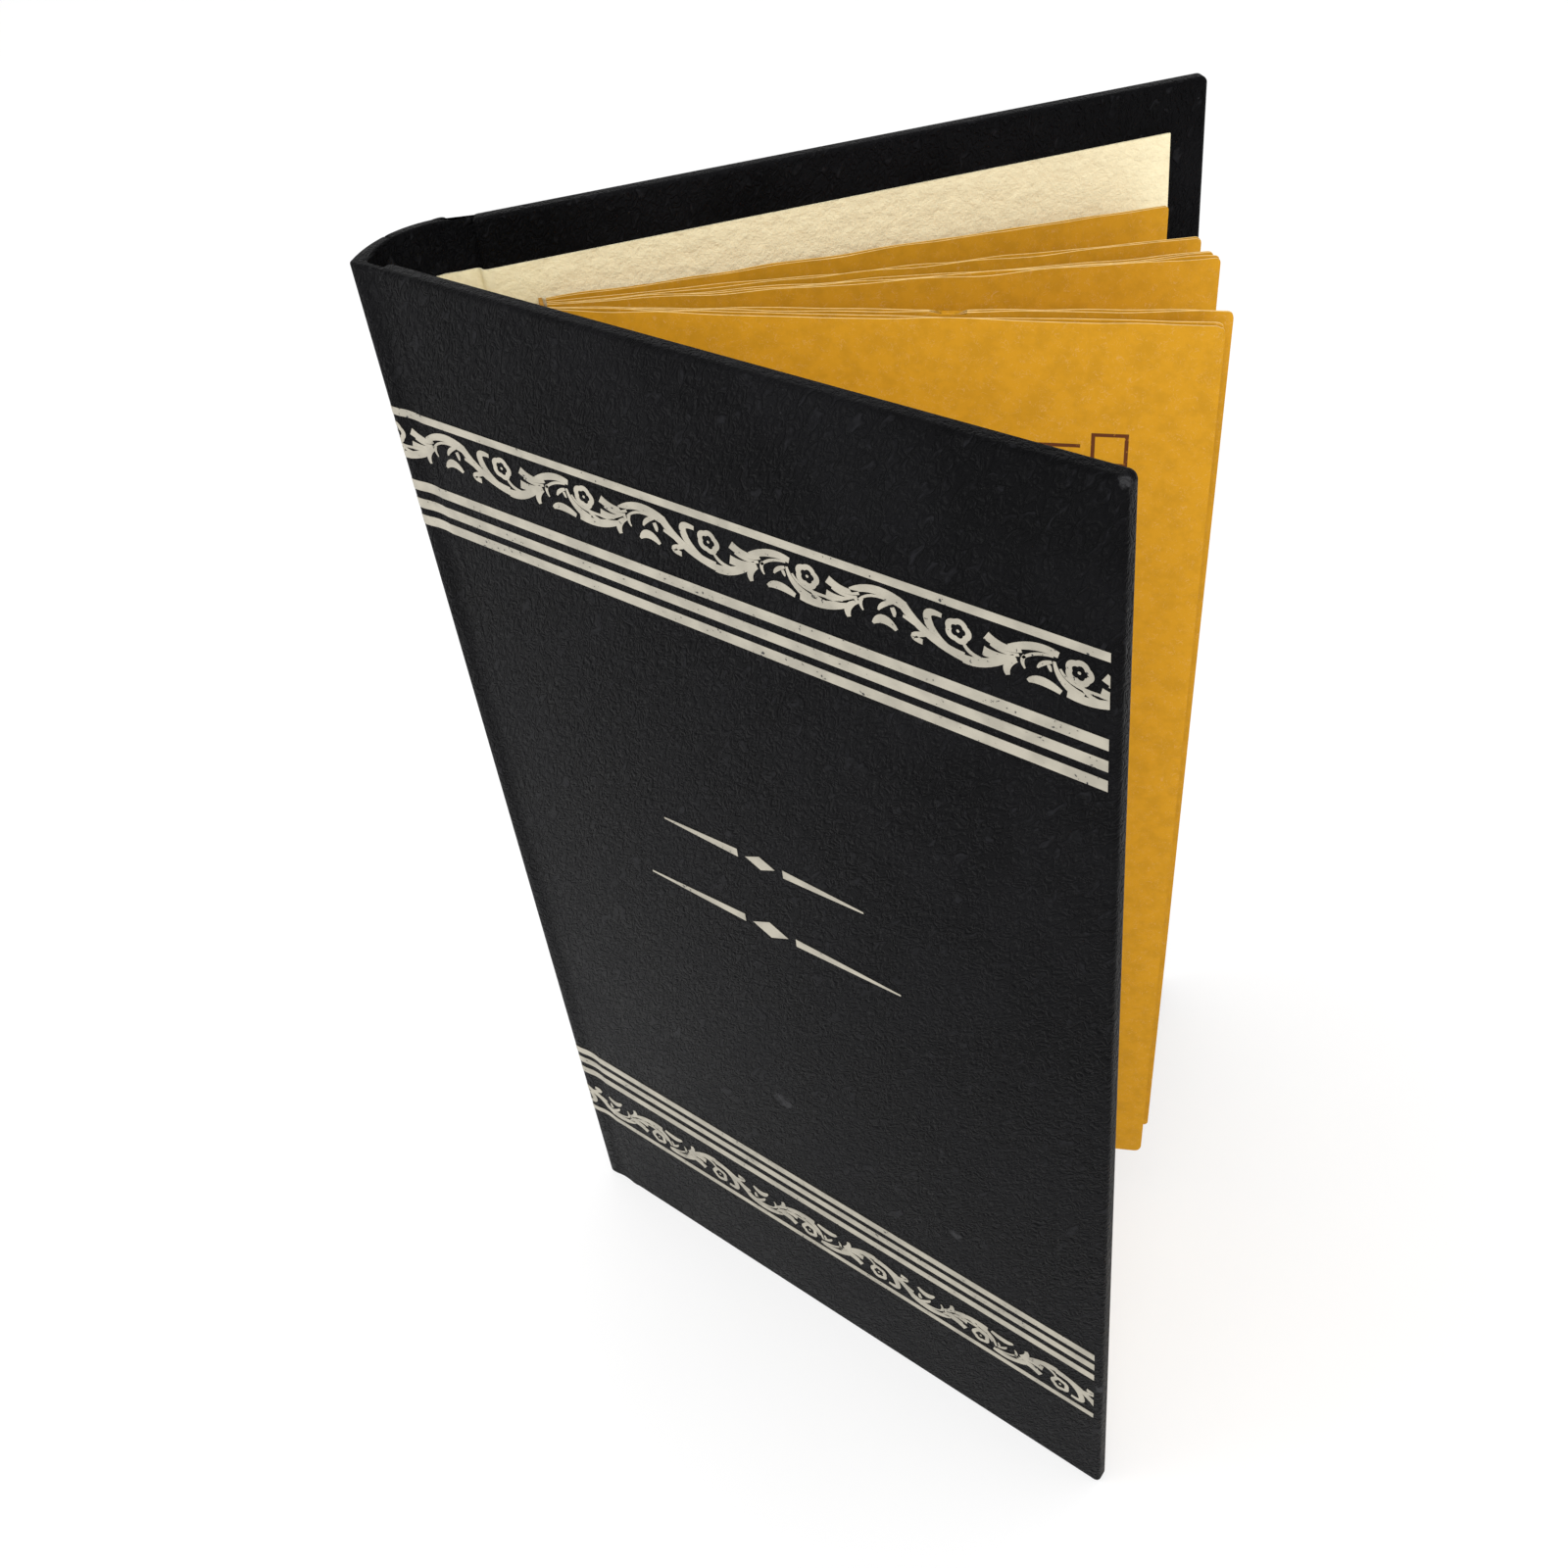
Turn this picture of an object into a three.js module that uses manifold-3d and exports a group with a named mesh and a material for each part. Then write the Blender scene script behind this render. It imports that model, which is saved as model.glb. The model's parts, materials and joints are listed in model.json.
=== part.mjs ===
// A casebound wallet of kraft envelopes, standing open in a V on its boards' lower edges.
// Millimetres, +Z up. The front cover runs along +X and faces -Y, and the floor is z = 0.
// Two covers hang on a bowed spine by vertical hinges, which lie in the grooves beside it.
// A fan of paper pockets is bound along the back cover's hinge side.

import * as THREE from "three";
import { mergeVertices } from "three/addons/utils/BufferGeometryUtils.js";
import Module from "manifold-3d";

const wasm = await Module();
wasm.setup();

// Driving dimensions of the case
const CASE_HEIGHT = 194;
const COVER_WIDTH = 106; // from a hinge axis to that cover's fore edge
const BOARD_THICKNESS = 1.4;
const COVER_PAPER = 0.3; // the embossed paper that wraps the boards
const LINING_PAPER = 0.3;
const GLUE_GAP = 0.2; // room between glued layers
const TURN_IN = 15; // how far the cover paper folds over onto the inside
const CORNER_RADIUS = 2.2;
const EDGE_BEVEL = 0.5;

// Driving dimensions of the joints and the spine
const OPEN_ANGLE = 51.9; // degrees between the covers as the wallet stands
const HINGE_SPAN = 14.6; // between the two hinge axes
const GROOVE_WIDTH = 3.1; // from a hinge axis to its board
const GROOVE_DEPTH = 0.7;
const HINGE_GAP = 0.25; // from a hinge axis to the paper on either side of it
const SHOULDER_REACH = 2.7; // how far the spine's shoulders stand behind the hinge axes
const SHOULDER_HEIGHT = 0.9; // how far the front shoulder stands proud of the front cover
const SPINE_BULGE = 2.1;
const SPINE_CARD = 0.8;
const SPINE_CARD_MARGIN = 1.6; // from each shoulder to the card's edge

// Driving dimensions of the lining
const LINING_TOP_INSET = 7;
const LINING_FORE_INSET = 5.6;
const LINING_HINGE_START = 0.9; // from a hinge axis to the lining's edge there
const LINING_FOLD = 0.35; // room between the lining's fold and the board's edge

// Driving dimensions of the envelopes
const ENVELOPE_WIDTH = 89;
const ENVELOPE_HEIGHT = 165;
const ENVELOPE_PLY = 0.2;
const POCKET_DEPTH = 0.3;
const POCKET_SEAM = 1.5;
const POCKET_FLOOR = 2;
const ENVELOPE_CORNER = 2.5;
const ENVELOPE_LEAN = 1.8; // degrees that the fore edges have sagged
const ENVELOPE_CENTRE_HEIGHT = 99.4;
const BINDING_DISTANCE = 4.3; // from the back hinge to the lowest end of the bound edges
const BINDING_SPACING = 0.9; // from one envelope to the next at the bound edge
const BINDING_TAPE = 0.5;
const TAPE_CLEARANCE = 0.55; // room for the fanned pockets' bound edges to swing
const FAN_ANGLES = [3.4, 9.7, 12.7, 13.9, 23.2, 25.2]; // degrees from the back cover

// Driving dimensions of the foil stamping
const FOIL_THICKNESS = 0.12;
const FOIL_END_MARGIN = 1.3;
const OUTER_RULE_OFFSET = 21.1; // from the cover's top or bottom edge to the rule's middle
const OUTER_RULE_WIDTH = 1.2;
const INNER_RULE_OFFSETS = [32.7, 35.7, 38.5];
const INNER_RULE_WIDTH = 1.6;
const BAND_OFFSET = 25.6;
const BAND_REACH = 2.7; // from the floral band's middle to its edges
const SCROLL_REPEAT = 34.7;
const VINE_WIDTH = 0.7;
const FLOWER_RADIUS = 1.6;

// Layers through a cover, counted inwards from its outer face
const BOARD_DEPTH = COVER_PAPER + GLUE_GAP;
const CASE_THICKNESS = 2 * BOARD_DEPTH + BOARD_THICKNESS;
const LINING_DEPTH = CASE_THICKNESS + GLUE_GAP;
const LINING_FACE = LINING_DEPTH + LINING_PAPER;
const HINGE_DEPTH = GROOVE_DEPTH + COVER_PAPER / 2;
const ENVELOPE_THICKNESS = 2 * ENVELOPE_PLY + POCKET_DEPTH;
const OVERCUT = 5;

const coverPaperBlack = new THREE.MeshStandardMaterial({ color: 0x222224, roughness: 0.45 });
const boardGrey = new THREE.MeshStandardMaterial({ color: 0x8d8672, roughness: 0.9 });
const liningCream = new THREE.MeshStandardMaterial({ color: 0xefe3ba, roughness: 0.85 });
const kraft = new THREE.MeshStandardMaterial({ color: 0xcf9734, roughness: 0.85 });
const tapeBrown = new THREE.MeshStandardMaterial({ color: 0xa87a2c, roughness: 0.9 });
const foilSilver = new THREE.MeshStandardMaterial({ color: 0xc8beac, roughness: 0.35, metalness: 0.6 });

const radians = THREE.MathUtils.degToRad;

function solidOf(geometry) {
  const bare = geometry.clone();
  bare.deleteAttribute("normal");
  bare.deleteAttribute("uv");
  const merged = mergeVertices(bare, 1e-4);
  return new wasm.Manifold(
    new wasm.Mesh({
      numProp: 3,
      vertProperties: new Float32Array(merged.attributes.position.array),
      triVerts: new Uint32Array(merged.index.array),
    }),
  );
}

function geometryOf(solid) {
  const mesh = solid.getMesh();
  const geometry = new THREE.BufferGeometry();
  geometry.setAttribute("position", new THREE.BufferAttribute(mesh.vertProperties, mesh.numProp));
  geometry.setIndex(new THREE.BufferAttribute(mesh.triVerts, 1));
  geometry.computeVertexNormals();
  return geometry;
}

// A plan outline of [x, y] corners, raised from z = low to z = high.
function prism(outline, low, high) {
  const points = outline.map(([x, y]) => new THREE.Vector2(x, y));
  if (THREE.ShapeUtils.area(points) < 0) points.reverse();
  const geometry = new THREE.ExtrudeGeometry(new THREE.Shape(points), {
    depth: high - low,
    bevelEnabled: false,
  });
  return geometry.translate(0, 0, low);
}

function block(xLow, xHigh, yLow, yHigh, zLow, zHigh) {
  const geometry = new THREE.BoxGeometry(xHigh - xLow, yHigh - yLow, zHigh - zLow);
  return geometry.translate((xLow + xHigh) / 2, (yLow + yHigh) / 2, (zLow + zHigh) / 2);
}

// An upright sheet whose shape is drawn in x and z, and which fills y = low to y = high.
function upright(shape, low, high, segments) {
  const geometry = new THREE.ExtrudeGeometry(shape, {
    depth: high - low,
    bevelEnabled: false,
    curveSegments: segments,
  });
  return geometry.rotateX(Math.PI / 2).translate(0, high, 0);
}

// A rectangle from (x, z) to (x, z), with round corners on its fore side only.
function foreRoundedShape(xLow, xHigh, zLow, zHigh, radius) {
  const shape = new THREE.Shape();
  shape.moveTo(xLow, zLow);
  shape.lineTo(xHigh - radius, zLow);
  shape.absarc(xHigh - radius, zLow + radius, radius, -Math.PI / 2, 0);
  shape.lineTo(xHigh, zHigh - radius);
  shape.absarc(xHigh - radius, zHigh - radius, radius, 0, Math.PI / 2);
  shape.lineTo(xLow, zHigh);
  shape.closePath();
  return shape;
}

// A strip of even thickness that follows a plan line on its left-hand side.
function strip(line, thickness) {
  const inner = line.map((point, i) => {
    const before = line[Math.max(i - 1, 0)];
    const after = line[Math.min(i + 1, line.length - 1)];
    const along = new THREE.Vector2().subVectors(after, before).normalize();
    return new THREE.Vector2(point.x - along.y * thickness, point.y + along.x * thickness);
  });
  return [...line, ...inner.reverse()].map((point) => [point.x, point.y]);
}

// A cover is drawn with its hinge axis at x = 0 and its outer face at depth = 0.
// side is +1 where depth runs along +Y, as on the front cover, and -1 on the back cover.
function coverBoard(side) {
  const depths = [side * BOARD_DEPTH, side * (BOARD_DEPTH + BOARD_THICKNESS)].sort((a, b) => a - b);
  const margin = COVER_PAPER + GLUE_GAP;
  return upright(
    foreRoundedShape(
      GROOVE_WIDTH,
      COVER_WIDTH - margin,
      margin,
      CASE_HEIGHT - margin,
      CORNER_RADIUS - margin,
    ),
    depths[0],
    depths[1],
    4,
  );
}

// The cover paper: it lines the groove, covers the outer face, wraps three edges and turns in.
function coverPaper(side) {
  const rise = GROOVE_WIDTH - LINING_FOLD;
  const outside = [
    [HINGE_GAP, GROOVE_DEPTH],
    [rise / 2, GROOVE_DEPTH],
    [rise, 0],
    [COVER_WIDTH - EDGE_BEVEL, 0],
    [COVER_WIDTH, EDGE_BEVEL],
    [COVER_WIDTH, CASE_THICKNESS - EDGE_BEVEL],
    [COVER_WIDTH - EDGE_BEVEL, CASE_THICKNESS],
    [HINGE_GAP, CASE_THICKNESS],
  ];
  const boardSpace = [
    [-OVERCUT, GROOVE_DEPTH + COVER_PAPER],
    [rise / 2, GROOVE_DEPTH + COVER_PAPER],
    [rise, COVER_PAPER],
    [COVER_WIDTH - COVER_PAPER, COVER_PAPER],
    [COVER_WIDTH - COVER_PAPER, CASE_THICKNESS - COVER_PAPER],
    [-OVERCUT, CASE_THICKNESS - COVER_PAPER],
  ];
  const grooveSpace = [
    [-OVERCUT, GROOVE_DEPTH + COVER_PAPER],
    [rise / 2, GROOVE_DEPTH + COVER_PAPER],
    [rise, COVER_PAPER],
    [GROOVE_WIDTH, COVER_PAPER],
    [GROOVE_WIDTH, CASE_THICKNESS + OVERCUT],
    [-OVERCUT, CASE_THICKNESS + OVERCUT],
  ];
  const turned = (outline) => outline.map(([x, depth]) => [x, side * depth]);
  const window = turned([
    [-OVERCUT, BOARD_DEPTH],
    [COVER_WIDTH - TURN_IN, BOARD_DEPTH],
    [COVER_WIDTH - TURN_IN, CASE_THICKNESS + OVERCUT],
    [-OVERCUT, CASE_THICKNESS + OVERCUT],
  ]);
  const cornerShape = foreRoundedShape(0, COVER_WIDTH, 0, CASE_HEIGHT, CORNER_RADIUS);
  const reach = CASE_THICKNESS + OVERCUT;
  const paper = solidOf(prism(turned(outside), 0, CASE_HEIGHT))
    .intersect(solidOf(upright(cornerShape, -reach, reach, 4)))
    .subtract(solidOf(prism(turned(boardSpace), COVER_PAPER, CASE_HEIGHT - COVER_PAPER)))
    .subtract(solidOf(prism(turned(grooveSpace), -OVERCUT, CASE_HEIGHT + OVERCUT)))
    .subtract(solidOf(prism(window, TURN_IN, CASE_HEIGHT - TURN_IN)));
  return geometryOf(paper);
}

// The lining: one flat leaf over the board and turn-ins, folded down into the groove.
function coverLining(side) {
  const foldDepth = HINGE_DEPTH + COVER_PAPER / 2 + GLUE_GAP;
  const foldEdge = GROOVE_WIDTH - LINING_FOLD;
  const outline = [
    [LINING_HINGE_START, foldDepth],
    [foldEdge, foldDepth],
    [foldEdge, LINING_DEPTH],
    [COVER_WIDTH - LINING_FORE_INSET, LINING_DEPTH],
    [COVER_WIDTH - LINING_FORE_INSET, LINING_FACE],
    [foldEdge - LINING_PAPER, LINING_FACE],
    [foldEdge - LINING_PAPER, foldDepth + LINING_PAPER],
    [LINING_HINGE_START, foldDepth + LINING_PAPER],
  ];
  return prism(
    outline.map(([x, depth]) => [x, side * depth]),
    LINING_TOP_INSET,
    CASE_HEIGHT - LINING_TOP_INSET,
  );
}

// The spine is drawn with the front hinge axis at the origin and the back one at y = HINGE_SPAN.
// Its outer line runs from the back groove over both shoulders to the front groove.
function spineLine(steps) {
  const front = new THREE.Vector2(-SHOULDER_REACH, -HINGE_DEPTH - SHOULDER_HEIGHT);
  const back = new THREE.Vector2(-SHOULDER_REACH, HINGE_SPAN - SHOULDER_HEIGHT / 2);
  const turn = COVER_PAPER * 3; // how far the paper takes to turn round a shoulder
  const path = new THREE.Path();
  path.moveTo(-HINGE_GAP, HINGE_SPAN + COVER_PAPER / 2);
  path.lineTo(back.x + turn, back.y + turn / 2);
  path.quadraticCurveTo(back.x, back.y + turn / 2, back.x - turn / 3, back.y - turn);
  const middle = new THREE.Vector2(-SHOULDER_REACH - 2 * SPINE_BULGE, HINGE_SPAN / 2);
  path.quadraticCurveTo(middle.x, middle.y, front.x - turn / 3, front.y + turn);
  path.quadraticCurveTo(front.x, front.y, front.x + turn, front.y + turn / 4);
  path.lineTo(-HINGE_GAP, -COVER_PAPER / 2);
  const points = path.getPoints(steps);
  return points.filter((point, i) => i === 0 || point.distanceTo(points[i - 1]) > 1e-6);
}

// The bowed stretch of the spine's line between its shoulders, moved inwards by a depth.
function bowedLine(depth, margin, steps) {
  const ends = [HINGE_SPAN - margin, margin - HINGE_DEPTH];
  const line = [];
  for (let i = 0; i <= steps; i += 1) {
    const share = i / steps;
    const y = THREE.MathUtils.lerp(ends[0], ends[1], share);
    const half = (HINGE_SPAN + HINGE_DEPTH) / 2;
    const centred = (y - (HINGE_SPAN - HINGE_DEPTH) / 2) / half;
    const bulge = SPINE_BULGE * (1 - centred * centred);
    line.push(new THREE.Vector2(-SHOULDER_REACH - bulge + depth, y));
  }
  return line;
}

function spinePaper() {
  return prism(strip(spineLine(6), COVER_PAPER), 0, CASE_HEIGHT);
}

function spineCard() {
  const margin = COVER_PAPER + GLUE_GAP;
  const line = bowedLine(COVER_PAPER + 2 * GLUE_GAP, SPINE_CARD_MARGIN, 10);
  return prism(strip(line, SPINE_CARD), margin, CASE_HEIGHT - margin);
}

function spineLining() {
  const depth = COVER_PAPER + 3 * GLUE_GAP + SPINE_CARD;
  const line = bowedLine(depth, SPINE_CARD_MARGIN, 10);
  return prism(strip(line, LINING_PAPER), LINING_TOP_INSET, CASE_HEIGHT - LINING_TOP_INSET);
}

// An envelope: a flat pocket, open at the top and shut by seams at its sides and bottom.
// Its bound edge is x = 0, its middle z = 0 and its thickness runs towards -Y.
function envelopePocket() {
  const half = ENVELOPE_HEIGHT / 2;
  const outer = foreRoundedShape(0, ENVELOPE_WIDTH, -half, half, ENVELOPE_CORNER);
  const pocket = block(
    POCKET_SEAM,
    ENVELOPE_WIDTH - POCKET_SEAM,
    -ENVELOPE_PLY - POCKET_DEPTH,
    -ENVELOPE_PLY,
    POCKET_FLOOR - half,
    half + OVERCUT,
  );
  const sheet = solidOf(upright(outer, -ENVELOPE_THICKNESS, 0, 5));
  return geometryOf(sheet.subtract(solidOf(pocket)));
}

function foilRule(offset, width) {
  const fromEdge = COVER_WIDTH - FOIL_END_MARGIN;
  return block(GROOVE_WIDTH, fromEdge, -FOIL_THICKNESS, 0, offset - width / 2, offset + width / 2);
}

function leafShape(x, z, length, width, angle) {
  const tip = new THREE.Vector2(length, 0).rotateAround(new THREE.Vector2(), angle);
  const bow = new THREE.Vector2(-tip.y, tip.x).setLength(width);
  const shape = new THREE.Shape();
  shape.moveTo(x, z);
  shape.quadraticCurveTo(x + tip.x / 2 - bow.x, z + tip.y / 2 - bow.y, x + tip.x, z + tip.y);
  shape.quadraticCurveTo(x + tip.x / 2 + bow.x, z + tip.y / 2 + bow.y, x, z);
  return shape;
}

function flowerShape(x, z) {
  const petals = 5;
  const points = [];
  const steps = petals * 4;
  for (let i = 0; i < steps; i += 1) {
    const turn = (2 * Math.PI * i) / steps;
    const radius = FLOWER_RADIUS * (0.8 + 0.2 * Math.cos(petals * turn));
    points.push(new THREE.Vector2(x + radius * Math.cos(turn), z + radius * Math.sin(turn)));
  }
  return new THREE.Shape(points);
}

// A traditional running scroll: a waving vine with a flower and leaves in each bend.
function floralBand(middle, flip) {
  const from = GROOVE_WIDTH + VINE_WIDTH;
  const to = COVER_WIDTH - FOIL_END_MARGIN;
  const swing = BAND_REACH - FLOWER_RADIUS / 2 - VINE_WIDTH;
  const wave = (x) => flip * swing * Math.cos((2 * Math.PI * (x - from)) / (SCROLL_REPEAT / 2));
  const steps = 48;
  const line = [];
  for (let i = 0; i <= steps; i += 1) {
    const x = THREE.MathUtils.lerp(from, to, i / steps);
    line.push(new THREE.Vector2(x, middle + wave(x)));
  }
  const vine = strip(line, VINE_WIDTH).map(([x, z]) => new THREE.Vector2(x, z));
  const asSolid = (shape) => solidOf(upright(shape, -FOIL_THICKNESS, 0, 2));
  let band = asSolid(new THREE.Shape(vine));
  for (let x = from + SCROLL_REPEAT / 8; x < to - FLOWER_RADIUS; x += SCROLL_REPEAT / 4) {
    const rising = wave(x + 1) > wave(x) ? 1 : -1;
    const height = middle + wave(x);
    band = band.add(asSolid(flowerShape(x, height + VINE_WIDTH / 2)));
    for (const turn of [35, 60]) {
      const angle = radians(turn) * -rising;
      const reach = (BAND_REACH * 0.8) / Math.sin(radians(60));
      band = band.add(asSolid(leafShape(x - 1, height + VINE_WIDTH / 2, reach, 0.8, angle)));
      band = band.add(asSolid(leafShape(x + 1, height + VINE_WIDTH / 2, reach, 0.8, angle + Math.PI)));
    }
  }
  return geometryOf(band);
}

function addPiece(group, name, geometry, material) {
  const piece = new THREE.Mesh(geometry, material);
  piece.name = name;
  group.add(piece);
  return piece;
}

// The hinge axes, in plan, with the front cover's outer face at y = 0
const frontHinge = new THREE.Vector3(0, HINGE_DEPTH, 0);
const backHinge = new THREE.Vector3(0, HINGE_DEPTH + HINGE_SPAN, 0);

const wallet = new THREE.Group();

const frontCover = new THREE.Group();
wallet.add(frontCover);
addPiece(frontCover, "front_board", coverBoard(1), boardGrey);
addPiece(frontCover, "front_cover_paper", coverPaper(1), coverPaperBlack);
addPiece(frontCover, "front_lining", coverLining(1), liningCream);

for (const [end, mirrored] of [["top", (z) => CASE_HEIGHT - z], ["bottom", (z) => z]]) {
  addPiece(
    frontCover,
    `foil_${end}_rule_outer`,
    foilRule(mirrored(OUTER_RULE_OFFSET), OUTER_RULE_WIDTH),
    foilSilver,
  );
  INNER_RULE_OFFSETS.forEach((offset, i) => {
    addPiece(
      frontCover,
      `foil_${end}_rule_${i + 1}`,
      foilRule(mirrored(offset), INNER_RULE_WIDTH),
      foilSilver,
    );
  });
  const flip = end === "top" ? 1 : -1;
  addPiece(frontCover, `foil_${end}_scroll`, floralBand(mirrored(BAND_OFFSET), flip), foilSilver);
}

const spine = new THREE.Group();
spine.position.copy(frontHinge);
wallet.add(spine);
addPiece(spine, "spine_paper", spinePaper(), coverPaperBlack);
addPiece(spine, "spine_card", spineCard(), boardGrey);
addPiece(spine, "spine_lining", spineLining(), liningCream);

// The back cover's outer face lies HINGE_DEPTH outside its hinge axis.
const backCover = new THREE.Group();
backCover.position.copy(backHinge);
backCover.rotation.z = radians(OPEN_ANGLE);
wallet.add(backCover);
const backPanel = new THREE.Group();
backPanel.position.y = HINGE_DEPTH;
backCover.add(backPanel);
addPiece(backPanel, "back_board", coverBoard(-1), boardGrey);
addPiece(backPanel, "back_cover_paper", coverPaper(-1), coverPaperBlack);
addPiece(backPanel, "back_lining", coverLining(-1), liningCream);

const lean = radians(ENVELOPE_LEAN);
const leanReach = (ENVELOPE_HEIGHT / 2) * Math.sin(lean);
FAN_ANGLES.forEach((angle, i) => {
  const leaf = new THREE.Group();
  const depth = LINING_FACE + GLUE_GAP + i * BINDING_SPACING;
  leaf.position.set(BINDING_DISTANCE, -depth, ENVELOPE_CENTRE_HEIGHT);
  leaf.rotation.z = -radians(angle);
  backPanel.add(leaf);
  const envelope = addPiece(leaf, `envelope_${i + 1}`, envelopePocket(), kraft);
  envelope.position.x = leanReach;
  envelope.rotation.y = lean;
});

// The tape that holds the bound edges together, standing on the back lining.
const stackDepth = FAN_ANGLES.length * BINDING_SPACING;
const half = ENVELOPE_HEIGHT / 2;
const tape = addPiece(
  backPanel,
  "binding_tape",
  block(-TAPE_CLEARANCE - BINDING_TAPE, -TAPE_CLEARANCE, -stackDepth, 0, -half, half),
  tapeBrown,
);
tape.position.set(BINDING_DISTANCE + leanReach, -LINING_FACE - GLUE_GAP, ENVELOPE_CENTRE_HEIGHT);
tape.rotation.y = lean;

// The origin: the middle of the space that the standing wallet fills, at floor level.
const space = new THREE.Box3().setFromObject(wallet, true);
const centre = space.getCenter(new THREE.Vector3());
wallet.position.set(-centre.x, -centre.y, 0);

export default wallet;
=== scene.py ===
import json
from math import cos, hypot, pi, radians, sin

import bmesh
import bpy
from bpy.props import FloatProperty, FloatVectorProperty, PointerProperty
from mathutils import Matrix, Vector, noise


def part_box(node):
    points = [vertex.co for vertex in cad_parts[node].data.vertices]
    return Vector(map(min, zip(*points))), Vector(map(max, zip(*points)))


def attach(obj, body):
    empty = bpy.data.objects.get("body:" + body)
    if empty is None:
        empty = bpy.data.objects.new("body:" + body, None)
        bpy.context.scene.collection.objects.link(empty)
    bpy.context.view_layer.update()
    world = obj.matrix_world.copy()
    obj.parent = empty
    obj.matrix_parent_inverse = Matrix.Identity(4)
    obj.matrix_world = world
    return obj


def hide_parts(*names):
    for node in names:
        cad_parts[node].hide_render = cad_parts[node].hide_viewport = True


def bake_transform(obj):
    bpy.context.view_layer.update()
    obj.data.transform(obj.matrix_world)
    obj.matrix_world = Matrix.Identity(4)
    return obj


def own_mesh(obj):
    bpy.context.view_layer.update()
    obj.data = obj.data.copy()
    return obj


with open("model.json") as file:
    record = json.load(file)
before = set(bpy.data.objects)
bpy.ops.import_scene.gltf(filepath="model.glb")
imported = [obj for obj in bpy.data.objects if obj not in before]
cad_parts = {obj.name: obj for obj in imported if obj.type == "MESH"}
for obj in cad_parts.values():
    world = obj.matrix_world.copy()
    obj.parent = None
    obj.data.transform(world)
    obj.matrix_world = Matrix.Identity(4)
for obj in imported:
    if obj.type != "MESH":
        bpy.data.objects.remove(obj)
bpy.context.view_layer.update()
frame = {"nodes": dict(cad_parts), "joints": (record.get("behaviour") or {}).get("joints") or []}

bl_info = {
    "name": "Cash envelope wallet",
    "version": (1, 0, 0),
    "blender": (4, 5, 0),
    "location": "View3D > Sidebar > Wallet",
    "description": "Models a casebound wallet with foil bands and a fan of kraft envelopes",
    "category": "Object",
}

MM = 0.001

# The frame's own sizes, in millimetres
joints = {joint["name"]: joint for joint in frame["joints"]}
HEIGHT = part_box("front_cover_paper")[1].z / MM
FRONT_AXIS = Vector(joints["front_hinge"]["pos_m"][:2]) / MM
BACK_AXIS = Vector(joints["back_hinge"]["pos_m"][:2]) / MM
OPEN_ANGLE = radians(-joints["back_hinge"]["range_deg"][0])
HINGE_DEPTH = FRONT_AXIS.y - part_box("front_cover_paper")[0].y / MM
CASE_THICKNESS = (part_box("front_cover_paper")[1].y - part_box("front_cover_paper")[0].y) / MM
COVER_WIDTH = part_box("front_cover_paper")[1].x / MM - FRONT_AXIS.x

# Directions of the back cover: along it from its hinge, and inwards from its outer face
ALONG = Vector((cos(OPEN_ANGLE), sin(OPEN_ANGLE)))
INWARD = Vector((sin(OPEN_ANGLE), -cos(OPEN_ANGLE)))

# Sizes of the case, in millimetres
BLOCK_START = 2.3  # from a hinge axis to that cover's padded board
STRIP_END = 4.6  # from a hinge axis to the end of the front groove's paper, inside the block
STRIP_INSET = 0.02  # of the groove's paper from the block's ends
STRIP_RIM = 0.3
HINGE_ROUND = 0.9
GROOVE_DEPTH = 0.7
FRONT_GROOVE = 0.16  # the groove as worn flat on the front
PLY = 0.45  # the cover paper in the grooves
SPINE_PLY = 1.55
LINING_PAPER = 0.3
LINING_DEPTH = 2.42
LINING_FACE = 2.9
LINING_TOP_INSET = 7
LINING_FORE_INSET = 5.6

# The spine in plan, from the front hinge axis: its middle, and its rear shoulder's reach
SPINE_MIDDLE = Vector((-4.95, 6.75))
SHOULDER_REACH = 3.0

# Sizes of the foil stamping, in millimetres
FOIL_END = 1.3
OUTER_RULE = (21.1, 1.2)  # middle from the cover's edge, and width
INNER_RULES = [(32.7, 1.6), (35.7, 1.6), (38.5, 1.6)]
BAND_MIDDLE = 25.6
SCROLL_REPEAT = 34.7
SCROLL_START = 31.8 - SCROLL_REPEAT
SCROLL_TURN = 81.3  # the bottom band is the top one turned half round: x becomes this less x
CLUSTER_STEP = 14.0
FLOWER_PLACES = [(0.0, 1.15), (20.1, 1.0)]
FLOWER_RADIUS = 1.22
FLOWER_LINE = 0.75
STROKE_WEIGHT = 1.6
STROKE_LIFT = 0.0015  # between strokes that cross, so that no two faces lie together
FOIL_FIRST_POINT = 15  # of the front's outer line, on the shoulder
FOIL_ROOT = 0.02  # how far a rule reaches into the paper
FACE_START = 4.8  # from the hinge axis to where the foil lies flat on the face

# Sizes of the envelopes, in millimetres
ENVELOPE_WIDTH = 89
ENVELOPE_HEIGHT = 165

# One number for each envelope, from the rear one to the front one
ENVELOPE_CORNERS = [0.5, 0.8, 0.8, 0.8, 0.8, 1.3]
TOP_RAISES = [0.0, 0.0, 0.3, 0.9, 1.1, 1.5]
FOOT_DROPS = [0.0, 0.0, 0.0, 0.0, 0.5, 2.8]
FORE_TRIMS = [0.8, 0.0, 0.0, 0.0, 0.9, 2.4]
ENVELOPE_LEAN = radians(1.8)
ENVELOPE_CENTRE = 99.4
BINDING_DISTANCE = 4.3
BINDING_SPACING = 0.9
GLUE_GAP = 0.2
FAN_ANGLES = [3.4, 9.7, 12.7, 13.9, 23.2, 25.2]
SHEET_STEPS = (60, 60)
POCKET_GAP = 0.3  # between the two sheets at a pocket's edges
SHEET_START = 0.1  # from the root plane to the rear sheet's middle
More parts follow.
